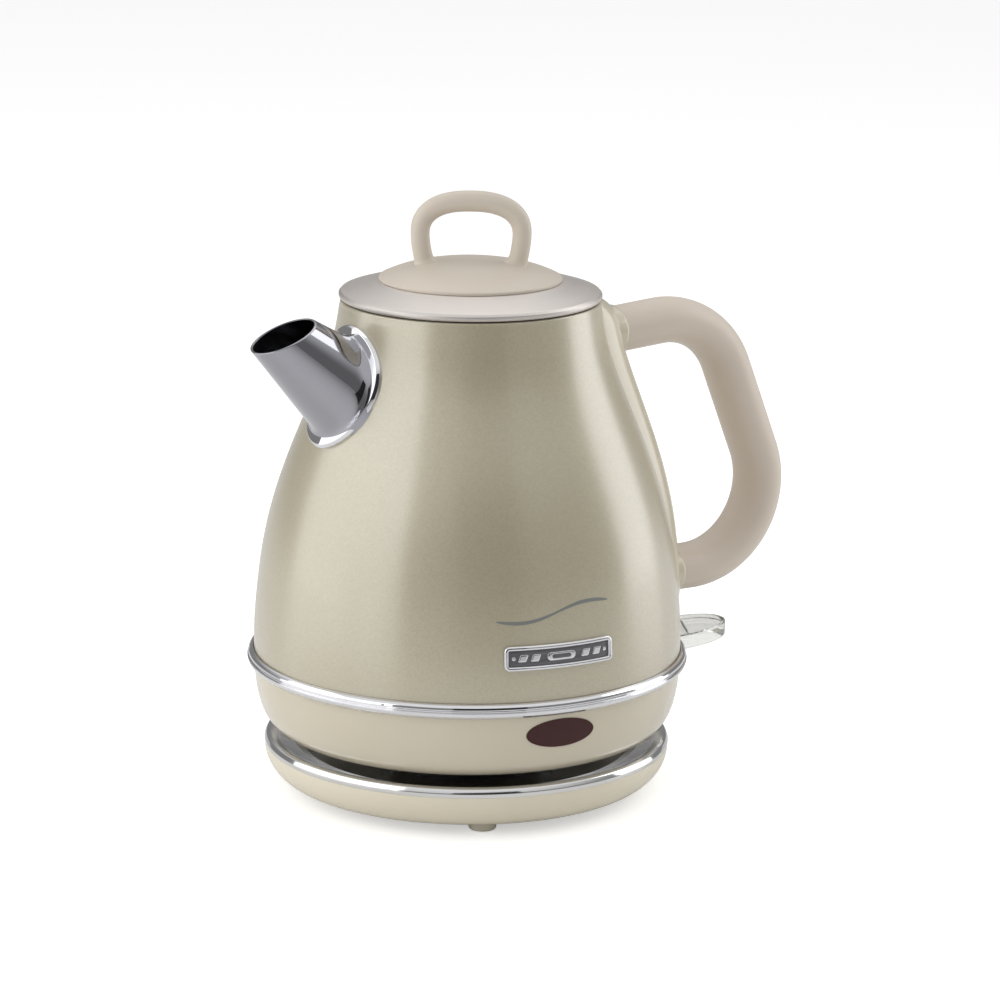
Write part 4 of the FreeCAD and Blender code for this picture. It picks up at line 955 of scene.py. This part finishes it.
def makeBadge():
    shape = badgeShape
    profile = ((0, 0.1), (0, 0.9), (0.12, 1.2), (0.4, 1.42), (0.85, 1.5), (1.25, 1.4), (1.5, 1.15),
               (1.62, 0.8), (shape["rim"], 0.1))
    rows = []
    for inset, height in profile:
        box = roundedBox(shape["half"] - inset, shape["high"] - inset, max(shape["corner"] - inset, 0.35))
        rows.append(onBody(box, height, shape["azimuth"], shape["z"]))
    frameRing = gridPiece("badgeFrame", np.stack(rows) * mm, finish["chrome"], closeRows=True, sharpAngle=50)
    placed(frameRing, "kettle", "chrome", "badge_frame")
    chrome, grey, relief = finish["chrome"], finish["badgeField"], shape["relief"]
    field = badgePad("badgeField", 0, shape["half"] - 1.6, shape["high"] - 1.6, 0.5, 0.6, grey)
    marks = [badgePad("mark", 0, 5.4, 1.5, 1.45, relief, chrome),
             badgePad("mark", 0, 3.6, 0.75, 0.7, relief + 0.25, grey)]
    for centre in shape["bars"]:
        marks.append(badgePad("mark", centre, 1.5, 1.3, 0.5, relief, chrome, shape["slant"]))
    for centre in shape["studs"]:
        marks.append(badgePad("mark", centre, 0.7, 0.7, 0.6, relief, chrome))
    placed(joined("badgePlate", [field] + marks), "kettle", "dark_plastic", "badge_plate")


flourishShape = {"azimuth": -97.0, "z": 83.0, "half": 22.0, "swing": 1.7, "rise": 0.09, "width": 1.1}


# A thin printed S-curve over the badge: one swing of a sine, pointed at both ends.
def makeFlourish():
    shape = flourishShape
    along = np.linspace(-1, 1, 160)
    x = along * shape["half"]
    y = shape["swing"] * np.sin(along * math.pi) + shape["rise"] * x
    width = shape["width"] * np.sqrt(np.maximum(1 - along ** 2, 0)) * (0.3 + 0.7 * np.abs(along))
    path = np.stack([x, y], 1)
    heading = np.gradient(path, axis=0)
    heading /= np.linalg.norm(heading, axis=1)[:, None]
    side = np.stack([-heading[:, 1], heading[:, 0]], 1)
    corners = [path + side * width[:, None] * k for k in (-1, 1)]
    rows = [onBody(corners[k], height, shape["azimuth"], shape["z"])
            for k, height in ((0, 0.01), (0, 0.06), (1, 0.06), (1, 0.01))]
    flourish = gridPiece("flourish", np.stack(rows, 1) * mm, finish["mark"])
    placed(flourish, "kettle", "dark_plastic")


makeBadge()
makeFlourish()

# Studio floor
print("floor and flags")


def stagePlane(name, width, height, material):
    corners = np.array([(-width, -height, 0), (width, -height, 0), (width, height, 0), (-width, height, 0)])
    plane = finishMesh(name, corners / 2, [(0, 1, 2, 3)], material)
    return plane


def makeStage():
    floorMaterial, tree, shader = newMaterial("paleFloor", Specular_IOR_Level=0.12)
    tone = useGroup(tree, toneDrift, Colour=(*[studio["floorColour"]] * 3, 1), Drift=0.01, Roughness=0.16,
                    Smudge=0.02, Size=3.0)
    joinShader(tree, shader, tone, None)
    # The floor is lifted to white for the camera alone
    path = tree.nodes.new("ShaderNodeLightPath")
    glow = mathNode(tree, "MULTIPLY", path.outputs["Is Camera Ray"], studio["floorGlow"])
    tree.links.new(glow, shader.inputs["Emission Color"])
    shader.inputs["Emission Strength"].default_value = 1
    floor = stagePlane("floor", 12, 12, floorMaterial)
    floor.location.z = -0.0002
    for name, flag in flags.items():
        grey = flag["grey"]
        card = stagePlane(name + "Card", *flag["size"],
                          newMaterial(name + "Card", Base_Color=(grey, grey, grey, 1), Roughness=0.9)[0])
        card.location = aroundCamera(flag["side"], flag["away"], flag["high"])
        card.rotation_euler = (Vector((0, 0, 0.2)) - card.location).to_track_quat("Z", "Y").to_euler()
        card.visible_camera = False
        card.visible_shadow = False
        card.visible_diffuse = False


makeCamera()
makeLights()
makeStage()
